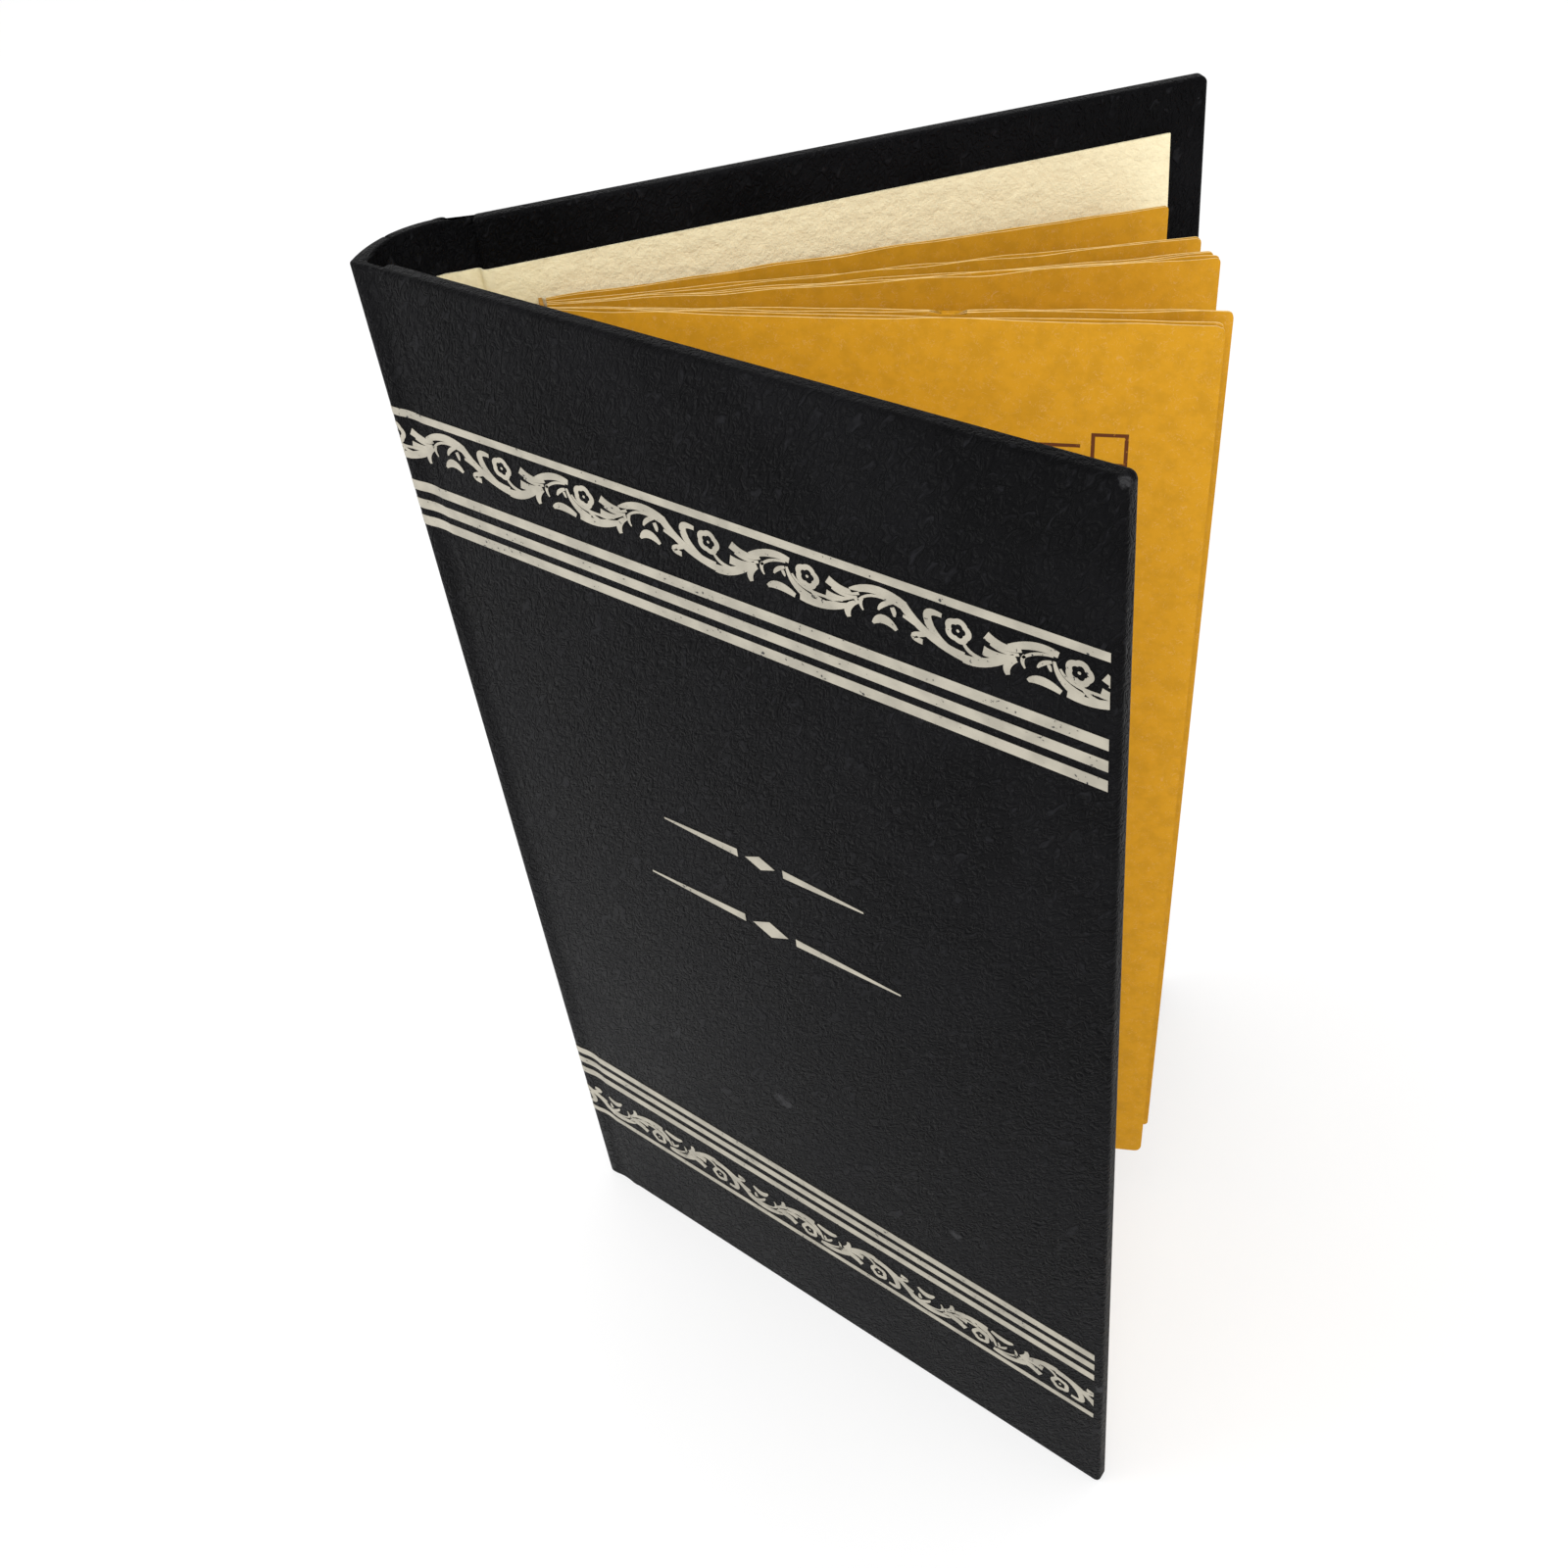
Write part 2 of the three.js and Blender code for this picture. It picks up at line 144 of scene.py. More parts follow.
PUFF = 0.3  # how far the front sheet bulges
EDGE_WANDER = 0.35  # of the cut top edges

# A nick in the top edge of one envelope
NOTCHED = 4
NOTCH_PLACE = 53.5
NOTCH_DEPTH = 0.9
NOTCH_REACH = 1.5

# Colours and relief that have no setting of their own
# The envelopes' cut edges get a paler kraft: a painted highlight along the edges
CUT_EDGE_HIGHLIGHT_COLOUR = (0.78, 0.52, 0.19)
TAPE_COLOUR = (0.40, 0.20, 0.03)
LINING_RELIEF = 0.0009
FLOOR_WHITE = 0.55  # how much of the floor's look to the camera is plain white

# Worn places on the cover: centre in the row frame, reach and grain
COVER_SCUFFS = [
    ((0.0553, -0.0489, 0.1938), 0.0011, 1400.0),
    ((-0.0020, -0.0492, 0.0600), 0.0022, 800.0),
    ((0.0300, -0.0492, 0.0500), 0.0012, 900.0),
    ((0.0550, -0.0490, 0.0300), 0.0012, 900.0),
]
WORN_GREY = (0.13, 0.13, 0.135)

# The print on the front envelope, in millimetres from its bound edge and its middle
BOX_CENTRE = (75.5, 64.8)
BOX_HALF = 2.2
PRINT_LINE = 0.45
RULE_SPAN = (52.0, 71.6)
RULE_LEVEL = 65.3

# The plain ornament in the middle of the cover: middle height, half length, lozenge reach
ORNAMENT_LINES = [(115.7, 17.5, 2.6), (102.2, 22.5, 3.2)]
ORNAMENT_MIDDLE = 51.8
LOZENGE_GAP = 1.4
RULE_WIDTHS = (1.5, 1.0, 0.3)

# The camera, fitted to the cover's edges and foil rules
CAMERA_PLACE = (0.11308, -0.16206, 0.27438)
CAMERA_RIGHT = (0.79761, 0.59547, -0.09612)
CAMERA_UP = (-0.30656, 0.53744, 0.78561)
CAMERA_BACK = (0.51946, -0.59714, 0.61121)
CAMERA_LENS = 37.059
CAMERA_SHIFT = (-0.01571, -0.08688)


class WalletCaseSettings(bpy.types.PropertyGroup):
    """Sizes and colours of the case and its lining."""

    corner: FloatProperty(
        name="Corner radius",
        description="Radius of the covers' fore corners",
        default=1.0 * MM,
        unit="LENGTH",
    )
    rim: FloatProperty(
        name="Rim rounding",
        description="How far the paper rounds the boards' edges",
        default=0.6 * MM,
        unit="LENGTH",
    )
    paper_colour: FloatVectorProperty(
        name="Cover paper",
        description="Colour of the embossed cover paper",
        default=(0.0030, 0.0030, 0.0034),
        subtype="COLOR",
    )
    lining_colour: FloatVectorProperty(
        name="Lining",
        description="Colour of the lining paper",
        default=(0.92, 0.83, 0.56),
        subtype="COLOR",
    )


class WalletFoilSettings(bpy.types.PropertyGroup):
    """Thickness and colour of the foil stamping."""

    film: FloatProperty(
        name="Film",
        description="How far the foil stands proud of the cover",
        default=0.05 * MM,
        unit="LENGTH",
    )
    colour: FloatVectorProperty(
        name="Foil",
        description="Colour of the foil",
        default=(0.40, 0.37, 0.30),
        subtype="COLOR",
    )


class WalletEnvelopeSettings(bpy.types.PropertyGroup):
    """Sizes and colours of the kraft envelopes."""

    ply: FloatProperty(
        name="Ply",
        description="Thickness of one sheet of kraft paper",
        default=0.2 * MM,
        unit="LENGTH",
    )
    wave: FloatProperty(
        name="Wave",
        description="How far the fore edges wander from flat",
        default=0.55 * MM,
        unit="LENGTH",
    )
    colour: FloatVectorProperty(
        name="Kraft",
        description="Colour of the kraft paper",
        default=(0.59, 0.292, 0.016),
        subtype="COLOR",
    )
    print_colour: FloatVectorProperty(
        name="Print",
        description="Colour of the printed tick box and rule",
        default=(0.09, 0.022, 0.012),
        subtype="COLOR",
    )


class WalletStageSettings(bpy.types.PropertyGroup):
    """Level of the stage's lamps."""

    key_power: FloatProperty(
        name="Key lamp",
        description="Power of the large lamp in front",
        default=4.4,
        unit="POWER",
    )
    sky: FloatProperty(
        name="Sky light",
        description="Strength of the even light from all around",
        default=1.0,
    )


# Plan points


def front_point(x, depth):
    """A plan point of the front cover, x from its hinge axis and depth from its outer face."""
    return Vector((FRONT_AXIS.x + x, FRONT_AXIS.y - HINGE_DEPTH + depth))


def back_point(x, depth):
    """A plan point of the back cover, x from its hinge axis and depth from its outer face."""
    return BACK_AXIS + ALONG * x + INWARD * (depth - HINGE_DEPTH)


def spine_point(x, y):
    """A plan point of the spine, measured from the front hinge axis."""
    return Vector((FRONT_AXIS.x + x, FRONT_AXIS.y + y))


def bow(start, control, end, steps):
    """Points of a bowed stretch, without its first one."""
    shares = [i / steps for i in range(1, steps + 1)]
    return [start * (1 - s) ** 2 + control * 2 * s * (1 - s) + end * s * s for s in shares]


def follow(start, *stretches):
    """A line that starts at a point and goes on by (control, end, steps) or by straight points."""
    line = [start]
    for stretch in stretches:
        if isinstance(stretch, Vector):
            line.append(stretch)
        else:
            line += bow(line[-1], *stretch)
    return line


def beside(line, distance):
    """The line moved to its left-hand side."""
    moved = []
    for i, point in enumerate(line):
        along = (line[min(i + 1, len(line) - 1)] - line[max(i - 1, 0)]).normalized()
        moved.append(point + Vector((-along.y, along.x)) * distance)
    return moved


def row_point(plan, z):
    """A plan point in millimetres at a height, as a place in metres."""
    return Vector((plan.x * MM, plan.y * MM, z * MM))


# Modelling steps


def start_clean():
    """Leaves edit mode and deselects everything."""
    if bpy.context.object and bpy.context.object.mode != "OBJECT":
        bpy.ops.object.mode_set(mode="OBJECT")
    bpy.ops.object.select_all(action="DESELECT")


def pick(*pieces):
    """Selects these pieces alone, the first one active."""
    start_clean()
    for piece in pieces:
        piece.select_set(True)
    bpy.context.view_layer.objects.active = pieces[0]


def settle(name):
    """Names the active primitive and puts its place into its mesh."""
    piece = bpy.context.object
    piece.name = name
    piece.data.name = name
    bpy.ops.object.transform_apply(location=True, rotation=True, scale=True)
    return piece


def select_edges(piece, wanted):
    """In edit mode, selects the edges for which wanted(edge) holds."""
    bpy.context.tool_settings.mesh_select_mode = (False, True, False)
    bpy.ops.mesh.select_all(action="DESELECT")
    mesh = bmesh.from_edit_mesh(piece.data)
    for edge in mesh.edges:
        edge.select_set(wanted(edge))
    bmesh.update_edit_mesh(piece.data)


def sharp(edge):
    """Whether an edge turns by more than 50 degrees."""
    return len(edge.link_faces) == 2 and edge.calc_face_angle(0) > radians(50)


def raised_outline(name, outline, low, high):
    """Walks a plan outline with an extruded vertex, fills it and raises it."""
    start_clean()
    place = row_point(outline[0], low)
    bpy.ops.mesh.primitive_plane_add(size=MM, location=place)
    piece = settle(name)
    bpy.ops.object.mode_set(mode="EDIT")
    bpy.context.tool_settings.mesh_select_mode = (True, False, False)
    bpy.ops.mesh.select_all(action="SELECT")
    bpy.ops.mesh.merge(type="CENTER")
    for before, after in zip(outline, outline[1:]):
        step = row_point(after - before, 0)
        bpy.ops.mesh.extrude_vertices_move(TRANSFORM_OT_translate={"value": step})
    bpy.ops.mesh.select_all(action="SELECT")
    bpy.ops.mesh.edge_face_add()
    rise = (0, 0, (high - low) * MM)
    bpy.ops.mesh.extrude_region_move(TRANSFORM_OT_translate={"value": rise})
    bpy.ops.mesh.select_all(action="SELECT")
    bpy.ops.mesh.normals_make_consistent(inside=False)
    bpy.ops.object.mode_set(mode="OBJECT")
    return piece


def round_rims(piece, width, segments):
    """Rounds the sharp edges at the ends of an upright piece."""
    pick(piece)
    bpy.ops.object.mode_set(mode="EDIT")
    ends = [min(v.co.z for v in piece.data.vertices), max(v.co.z for v in piece.data.vertices)]

    def at_end(edge):
        a, b = (vertex.co.z for vertex in edge.verts)
        return sharp(edge) and abs(a - b) < 1e-7 and min(abs(a - end) for end in ends) < 1e-7

    select_edges(piece, at_end)
    bpy.ops.mesh.bevel(offset=width, segments=segments, affect="EDGES")
    bpy.ops.object.mode_set(mode="OBJECT")


def smooth(piece, angle):
    """Shades a piece smooth, apart from edges sharper than the angle in degrees."""
    pick(piece)
    bpy.ops.object.shade_smooth_by_angle(angle=radians(angle))


def dress(piece, material):
    """Gives a piece its one material."""
    piece.data.materials.clear()
    piece.data.materials.append(material)


# Materials


def new_material(name):
    """An empty material, its node tree and its Principled shader."""
    material = bpy.data.materials.new(name)
    material.use_nodes = True
    tree = material.node_tree
    tree.nodes.clear()
    shader = tree.nodes.new("ShaderNodeBsdfPrincipled")
    output = tree.nodes.new("ShaderNodeOutputMaterial")
    tree.links.new(shader.outputs["BSDF"], output.inputs["Surface"])
    return material, tree, shader


def put(tree, kind, settings=None, **sockets):
    """Adds a node, sets its own settings, and sets or links its sockets."""
    node = tree.nodes.new(kind)
    for key, value in (settings or {}).items():
        setattr(node, key, value)
    for key, value in sockets.items():
        numbered = key[0] == "i" and key[1:].isdigit()
        socket = node.inputs[int(key[1:])] if numbered else node.inputs[key]
        if isinstance(value, bpy.types.NodeSocket):
            tree.links.new(value, socket)
        else:
            socket.default_value = value
    return node


def math(tree, operation, a, b=0.0, c=0.0):
    """A Math node's result."""
    return put(tree, "ShaderNodeMath", {"operation": operation}, i0=a, i1=b, i2=c).outputs[0]


def ramp(tree, value, low, high, start=0.0, end=1.0):
    """A value mapped from low to high onto start to end, smoothly and held at the ends."""
    node = put(tree, "ShaderNodeMapRange", {"interpolation_type": "SMOOTHSTEP"}, Value=value)
    for key, number in (("From Min", low), ("From Max", high), ("To Min", start), ("To Max", end)):
        node.inputs[key].default_value = number
    return node.outputs["Result"]


def mix(tree, share, first, second):
    """A colour between two."""
    node = tree.nodes.new("ShaderNodeMix")
    node.data_type = "RGBA"
    for index, value in ((0, share), (6, first), (7, second)):
        if isinstance(value, bpy.types.NodeSocket):
            tree.links.new(value, node.inputs[index])
        elif index == 0:
            node.inputs[index].default_value = value
        else:
            node.inputs[index].default_value = (*value[:3], 1.0)
    return node.outputs[2]


def noise_value(tree, vector, scale, detail=3.0, roughness=0.5, distortion=0.0):
    """A Noise texture's value."""
    node = put(tree, "ShaderNodeTexNoise", Vector=vector, Scale=scale, Detail=detail)
    node.inputs["Roughness"].default_value = roughness
    node.inputs["Distortion"].default_value = distortion
    return node.outputs["Fac"]


def place_of(tree):
    """The surface's place in the row frame."""
    return put(tree, "ShaderNodeTexCoord").outputs["Object"]


def stretched(tree, vector, scale):
    """Coordinates stretched along the axes."""
    node = put(tree, "ShaderNodeMapping", Vector=vector)
    node.inputs["Scale"].default_value = scale
    return node.outputs["Vector"]


def bump(tree, height, distance, strength=1.0):
    """The normal of a bumped surface."""
    node = put(tree, "ShaderNodeBump", Height=height, Distance=distance, Strength=strength)
    return node.outputs["Normal"]


def effect(name, inputs, outputs):
    """A shader node group with named sockets. inputs are (name, kind, default)."""
    group = bpy.data.node_groups.new(name, "ShaderNodeTree")
    for label, kind, value in inputs:
        socket = group.interface.new_socket(name=label, in_out="INPUT", socket_type=kind)
        if value is not None:
            socket.default_value = value
    for label, kind in outputs:
        group.interface.new_socket(name=label, in_out="OUTPUT", socket_type=kind)
    return group, group.nodes.new("NodeGroupInput"), group.nodes.new("NodeGroupOutput")


def scuff_effect():
    """A worn patch round a point, broken up by noise."""
    group, given, result = effect(
        "Worn patch",
        [
            ("Place", "NodeSocketVector", None),
            ("Centre", "NodeSocketVector", (0, 0, 0)),
            ("Reach", "NodeSocketFloat", 0.003),
            ("Grain", "NodeSocketFloat", 900.0),
        ],
        [("Mask", "NodeSocketFloat")],
    )
    away = put(
        group,
        "ShaderNodeVectorMath",
        {"operation": "DISTANCE"},
        i0=given.outputs["Place"],
        i1=given.outputs["Centre"],
    ).outputs["Value"]
    share = math(group, "DIVIDE", away, given.outputs["Reach"])
    grain = noise_value(group, given.outputs["Place"], given.outputs["Grain"], 4.0, 0.65)
    broken = math(group, "SUBTRACT", grain, math(group, "MULTIPLY", share, 0.45))
    group.links.new(ramp(group, broken, 0.12, 0.3), result.inputs["Mask"])
    return group


def fibre_effect():
    """Paper fibres: short fine curls, and a soft mottle."""
    group, given, result = effect(
        "Paper fibres",
        [("Place", "NodeSocketVector", None), ("Size", "NodeSocketFloat", 1.0)],
        [("Fibres", "NodeSocketFloat"), ("Mottle", "NodeSocketFloat")],
    )
    scaled = put(
        group,
        "ShaderNodeVectorMath",
        {"operation": "SCALE"},
        i0=given.outputs["Place"],
        Scale=given.outputs["Size"],
    ).outputs["Vector"]
    curls = noise_value(group, scaled, 1050.0, 1.0, 0.5, 1.6)
    curls = math(group, "ABSOLUTE", math(group, "SUBTRACT", curls, 0.5))
    curls = ramp(group, curls, 0.0, 0.03, 1.0, 0.0)
    breaks = ramp(group, noise_value(group, scaled, 900.0, 1.0), 0.4, 0.62)
    group.links.new(math(group, "MULTIPLY", curls, breaks), result.inputs["Fibres"])
    group.links.new(noise_value(group, scaled, 330.0, 5.0, 0.68), result.inputs["Mottle"])
    return group


def use_effect(tree, group, **sockets):
    """Places a node group, with its sockets set or linked."""
    node = tree.nodes.new("ShaderNodeGroup")
    node.node_tree = group
    for key, value in sockets.items():
        if isinstance(value, bpy.types.NodeSocket):
            tree.links.new(value, node.inputs[key])
        else:
            node.inputs[key].default_value = value
    return node


def cover_paper_material(colour, scuff):
    """Black paper embossed like fine wrinkled leather, scuffed at a corner and in small spots, with
    glints painted lighter on the crests of its wrinkles.
    """
    material, tree, shader = new_material("cover paper")
    place = place_of(tree)
    turned = put(tree, "ShaderNodeMapping", {"vector_type": "TEXTURE"}, Vector=place)
    turned.inputs["Rotation"].default_value = (0, radians(35), 0)
    turned.inputs["Scale"].default_value = (1.0, 1.0, 2.6)
    wrinkles = noise_value(tree, turned.outputs["Vector"], 1000.0, 2.0, 0.5, 0.9)
    ridges = math(tree, "ABSOLUTE", math(tree, "SUBTRACT", wrinkles, 0.5))
    ridges = ramp(tree, ridges, 0.0, 0.12)
    # painted highlight: the crests of the wrinkles, where the base colour is painted lighter as
    # glints
    painted_glints = ramp(tree, wrinkles, 0.6, 0.76)
    pores = noise_value(tree, place, 2400.0, 2.0, 0.6)
    ridges = math(tree, "MULTIPLY", ridges, 0.7)
    height = math(tree, "ADD", ridges, math(tree, "MULTIPLY", pores, 0.3))
    tone = noise_value(tree, place, 60.0, 3.0, 0.6)
    light = tuple(c * 1.8 for c in colour)
    base = mix(tree, ramp(tree, tone, 0.35, 0.7), colour, light)
    # painted highlight: a colour seven times the paper's, painted onto the crests as glints
    painted_glint_colour = tuple(c * 7 for c in colour)
    base = mix(tree, math(tree, "MULTIPLY", painted_glints, 0.4), base, painted_glint_colour)
    masks = []
    for centre, reach, grain in COVER_SCUFFS:
        node = use_effect(tree, scuff, Place=place, Centre=centre, Reach=reach, Grain=grain)
        masks.append(node.outputs["Mask"])
    worn = masks[0]
    for mask in masks[1:]:
        worn = math(tree, "MAXIMUM", worn, mask)
    specks = noise_value(tree, place, 1500.0, 1.0, 0.4)
    specks = ramp(tree, specks, 0.79, 0.83, 0.0, 0.5)
    worn = math(tree, "MAXIMUM", worn, specks)
    base = mix(tree, math(tree, "MULTIPLY", worn, 0.25), base, WORN_GREY)
    tree.links.new(base, shader.inputs["Base Color"])
    rough = ramp(tree, tone, 0.3, 0.75, 0.34, 0.42)
    rough = math(tree, "ADD", rough, math(tree, "MULTIPLY", worn, 0.3))
    tree.links.new(rough, shader.inputs["Roughness"])
    tree.links.new(bump(tree, height, 0.00035, 0.8), shader.inputs["Normal"])
    shader.inputs["Specular IOR Level"].default_value = 0.025
    return material


def foil_material(colour, dark):
    """Pale foil with pinholes where the paper's grain shows through."""
    material, tree, shader = new_material("foil")
    place = place_of(tree)
    grain = noise_value(tree, place, 1900.0, 2.0, 0.5)
    patches = noise_value(tree, place, 260.0, 2.0, 0.5)
    holes = math(tree, "ADD", grain, math(tree, "MULTIPLY", patches, 0.35))
    holes = ramp(tree, holes, 0.885, 0.915)
    shade = tuple(c * 0.8 for c in colour)
    pale = mix(tree, ramp(tree, patches, 0.35, 0.65), colour, shade)
    tree.links.new(mix(tree, holes, pale, dark), shader.inputs["Base Color"])
    tree.links.new(ramp(tree, holes, 0.0, 1.0, 0.35, 0.0), shader.inputs["Metallic"])
    tree.links.new(ramp(tree, grain, 0.3, 0.7, 0.38, 0.5), shader.inputs["Roughness"])
    tree.links.new(bump(tree, grain, 0.00004, 0.5), shader.inputs["Normal"])
    return material


def paper_material(name, colour, fibre, size, contrast, relief=0.00006):
    """Matt paper with fibres and mottle."""
    material, tree, shader = new_material(name)
    place = place_of(tree)
    paper = use_effect(tree, fibre, Place=place, Size=size)
    light = tuple(c + (0.9 - c) * contrast for c in colour)
    deep = tuple(c * (1 - contrast) for c in colour)
    base = mix(tree, ramp(tree, paper.outputs["Mottle"], 0.38, 0.66), colour, deep)
    base = mix(tree, math(tree, "MULTIPLY", paper.outputs["Fibres"], 0.55), base, light)
    tree.links.new(base, shader.inputs["Base Color"])
    shader.inputs["Roughness"].default_value = 0.8
    shader.inputs["Specular IOR Level"].default_value = 0.1
    tree.links.new(bump(tree, paper.outputs["Mottle"], relief, 0.7), shader.inputs["Normal"])
    return material, tree, shader, base


def printed_material(colour, print_colour, fibre):
    """Kraft paper with a plain tick box and the rule that leads to it."""
    material, tree, shader, base = paper_material("kraft printed", colour, fibre, 1.0, 0.12)
    spot = put(tree, "ShaderNodeUVMap", {"uv_map": "sheet"}).outputs["UV"]
    split = put(tree, "ShaderNodeSeparateXYZ", Vector=spot)
    u = math(tree, "MULTIPLY", split.outputs[0], ENVELOPE_WIDTH)
    v = math(tree, "MULTIPLY", math(tree, "SUBTRACT", split.outputs[1], 0.5), ENVELOPE_HEIGHT)
    across = math(tree, "ABSOLUTE", math(tree, "SUBTRACT", u, BOX_CENTRE[0]))
    up = math(tree, "ABSOLUTE", math(tree, "SUBTRACT", v, BOX_CENTRE[1]))
    reach = math(tree, "MAXIMUM", across, up)
    off_line = math(tree, "ABSOLUTE", math(tree, "SUBTRACT", reach, BOX_HALF))
    box = ramp(tree, off_line, PRINT_LINE / 2, PRINT_LINE / 2 + 0.08, 1.0, 0.0)
    level = math(tree, "ABSOLUTE", math(tree, "SUBTRACT", v, RULE_LEVEL))
    rule = ramp(tree, level, PRINT_LINE / 2, PRINT_LINE / 2 + 0.08, 1.0, 0.0)
    start, end = RULE_SPAN
    inside = math(tree, "MULTIPLY", ramp(tree, u, start - 0.1, start), rule)
    inside = math(tree, "MULTIPLY", ramp(tree, u, end, end + 0.1, 1.0, 0.0), inside)
    ink = math(tree, "MAXIMUM", box, inside)
    breaks = noise_value(tree, place_of(tree), 1500.0, 2.0, 0.6)
    ink = math(tree, "MULTIPLY", ink, ramp(tree, breaks, 0.28, 0.42, 0.45, 0.95))
    tree.links.new(mix(tree, ink, base, print_colour), shader.inputs["Base Color"])
    return material


# Pieces of the case


def cover_block(name, side, place, settings):
    """A wrapped board: a block with a round hinge end, round fore corners and rounded rims."""
    start_clean()
    length = COVER_WIDTH - BLOCK_START
    middle = ((BLOCK_START + length / 2) * MM, side * CASE_THICKNESS / 2 * MM, HEIGHT / 2 * MM)
    size = (length * MM, CASE_THICKNESS * MM, HEIGHT * MM)
    bpy.ops.mesh.primitive_cube_add(size=1, location=middle, scale=size)
    piece = settle(name)
    bpy.ops.object.mode_set(mode="EDIT")

    def hinge_edge(edge):
        return all(abs(v.co.x - BLOCK_START * MM) < 1e-6 and abs(v.co.y) < 1e-6 for v in edge.verts)

    def fore_corner(edge):
        a, b = (vertex.co for vertex in edge.verts)
        at_fore = min(a.x, b.x) > (COVER_WIDTH - 0.01) * MM
        return at_fore and abs(a.z - b.z) < 1e-6

    select_edges(piece, hinge_edge)
    bpy.ops.mesh.bevel(offset=HINGE_ROUND * MM, segments=6, affect="EDGES")
    select_edges(piece, fore_corner)
    bpy.ops.mesh.bevel(offset=settings.corner, segments=8, affect="EDGES")
    select_edges(piece, sharp)
    bpy.ops.mesh.bevel(offset=settings.rim, segments=4, affect="EDGES")
    bpy.ops.object.mode_set(mode="OBJECT")
    piece.data.transform(place)
    return piece


def front_place():
    """Where the front cover's own coordinates lie in the row frame."""
    return Matrix.Translation(row_point(front_point(0, 0), 0))


def back_place():
    """Where the back cover's own coordinates lie in the row frame."""
    turn = Matrix.Rotation(OPEN_ANGLE, 4, "Z")
    return Matrix.Translation(row_point(back_point(0, 0), 0)) @ turn


def front_outer_line():
    """The cover paper's outside from the spine's middle over the front shoulder to the groove."""
    return follow(
        spine_point(*SPINE_MIDDLE),
        (front_point(-4.95, 4.075), front_point(-3.2, 0.6), 12),
        (front_point(-3.0, -0.12), front_point(-2.2, -0.14), 6),
        (front_point(-1.4, -0.14), front_point(-0.6, 0.02), 6),
        (front_point(0.1, FRONT_GROOVE), front_point(1.0, FRONT_GROOVE), 6),
        (front_point(2.2, FRONT_GROOVE), front_point(3.0, -0.01), 8),
        front_point(3.8, -0.01),
    )


def front_strip_outline():
    """The groove and half of the spine, as a closed outline."""
    outside = front_outer_line() + [front_point(STRIP_END, 0.12)]
    inner = GROOVE_DEPTH + PLY
    inside = follow(
        front_point(STRIP_END, inner),
        front_point(-0.2, inner),
        (front_point(-1.1, inner), front_point(-1.5, inner + 1.2), 5),
        (front_point(-3.0, 4.0), spine_point(SPINE_MIDDLE.x + SPINE_PLY, SPINE_MIDDLE.y), 10),
    )
    return outside + inside


def back_strip_outline():
    """The same on the back cover's side."""
    outside = follow(
        spine_point(*SPINE_MIDDLE),
        (spine_point(-4.95, 10.275), spine_point(-SHOULDER_REACH, 13.25), 12),
        (spine_point(-2.7, 14.7), spine_point(-1.8, 14.75), 6),
        (back_point(-0.7, 0.25), back_point(-0.1, GROOVE_DEPTH), 6),
        back_point(0.5, GROOVE_DEPTH),
        back_point(BLOCK_START + 1.5, GROOVE_DEPTH),
    )
    inner = GROOVE_DEPTH + PLY
    inside = follow(
        back_point(BLOCK_START + 1.5, inner),
        back_point(0.0, inner),
        (back_point(-1.0, inner), spine_point(-1.6, 12.6), 5),
        (spine_point(-3.0, 10.0), spine_point(SPINE_MIDDLE.x + SPINE_PLY, SPINE_MIDDLE.y), 10),
    )
    return outside + inside


def joined(name, *pieces):
    """One piece out of several."""
    pick(*pieces)
    bpy.ops.object.join()
    pieces[0].name = name
    return pieces[0]


def bend_front(piece):
    """Puts a piece's place into its mesh."""
    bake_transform(piece)


def bend_back(piece):
    """Puts a piece's place into its mesh."""
    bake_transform(piece)


def lining_line(point, *stretches):
    """The lining's outside, from the spine's middle through the groove and over the board."""
    return follow(
        spine_point(SPINE_MIDDLE.x + SPINE_PLY + 0.08, SPINE_MIDDLE.y),
        *stretches,
        point(1.2, 1.22),
        (point(2.0, 1.25), point(2.08, 1.8), 4),
        (point(2.15, LINING_DEPTH), point(3.0, LINING_DEPTH), 5),
        point(COVER_WIDTH - LINING_FORE_INSET, LINING_DEPTH),
    )


def front_lining_line():
    """The lining's outside over the front board."""
    return lining_line(
        front_point,
        (front_point(-2.85, 4.1), front_point(-1.3, 2.35), 8),
        (front_point(-0.95, 1.3), front_point(-0.1, 1.22), 5),
    )


def back_lining_line():
    """The same over the back board."""
    return lining_line(
        back_point,
        (spine_point(-2.85, 10.0), spine_point(-1.45, 12.45), 8),
        (back_point(-0.7, 1.3), back_point(0.2, 1.22), 5),
    )


class WALLET_OT_case(bpy.types.Operator):
    """Model the front and back halves of the case"""

    bl_idname = "wallet.case"
    bl_label = "Case"

    def execute(self, context):
        settings = context.scene.wallet_case
        paper = cover_paper_material(tuple(settings.paper_colour), scuff_effect())
        for name, side, place, outline, bend, nodes in (
            ("front_case", 1, front_place(), front_strip_outline(), bend_front,
             ("front_cover_paper", "front_board", "spine_paper")),
            ("back_case", -1, back_place(), back_strip_outline(), bend_back,
             ("back_cover_paper", "back_board", "spine_card")),
        ):
            block = cover_block(name, side, place, settings)
            strip = raised_outline(name + "_groove", outline, STRIP_INSET, HEIGHT - STRIP_INSET)
            round_rims(strip, STRIP_RIM * MM, 3)
            case = joined(name, block, strip)
            smooth(case, 40)
            dress(case, paper)
            bend(case)
            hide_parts(*nodes)
        return {"FINISHED"}


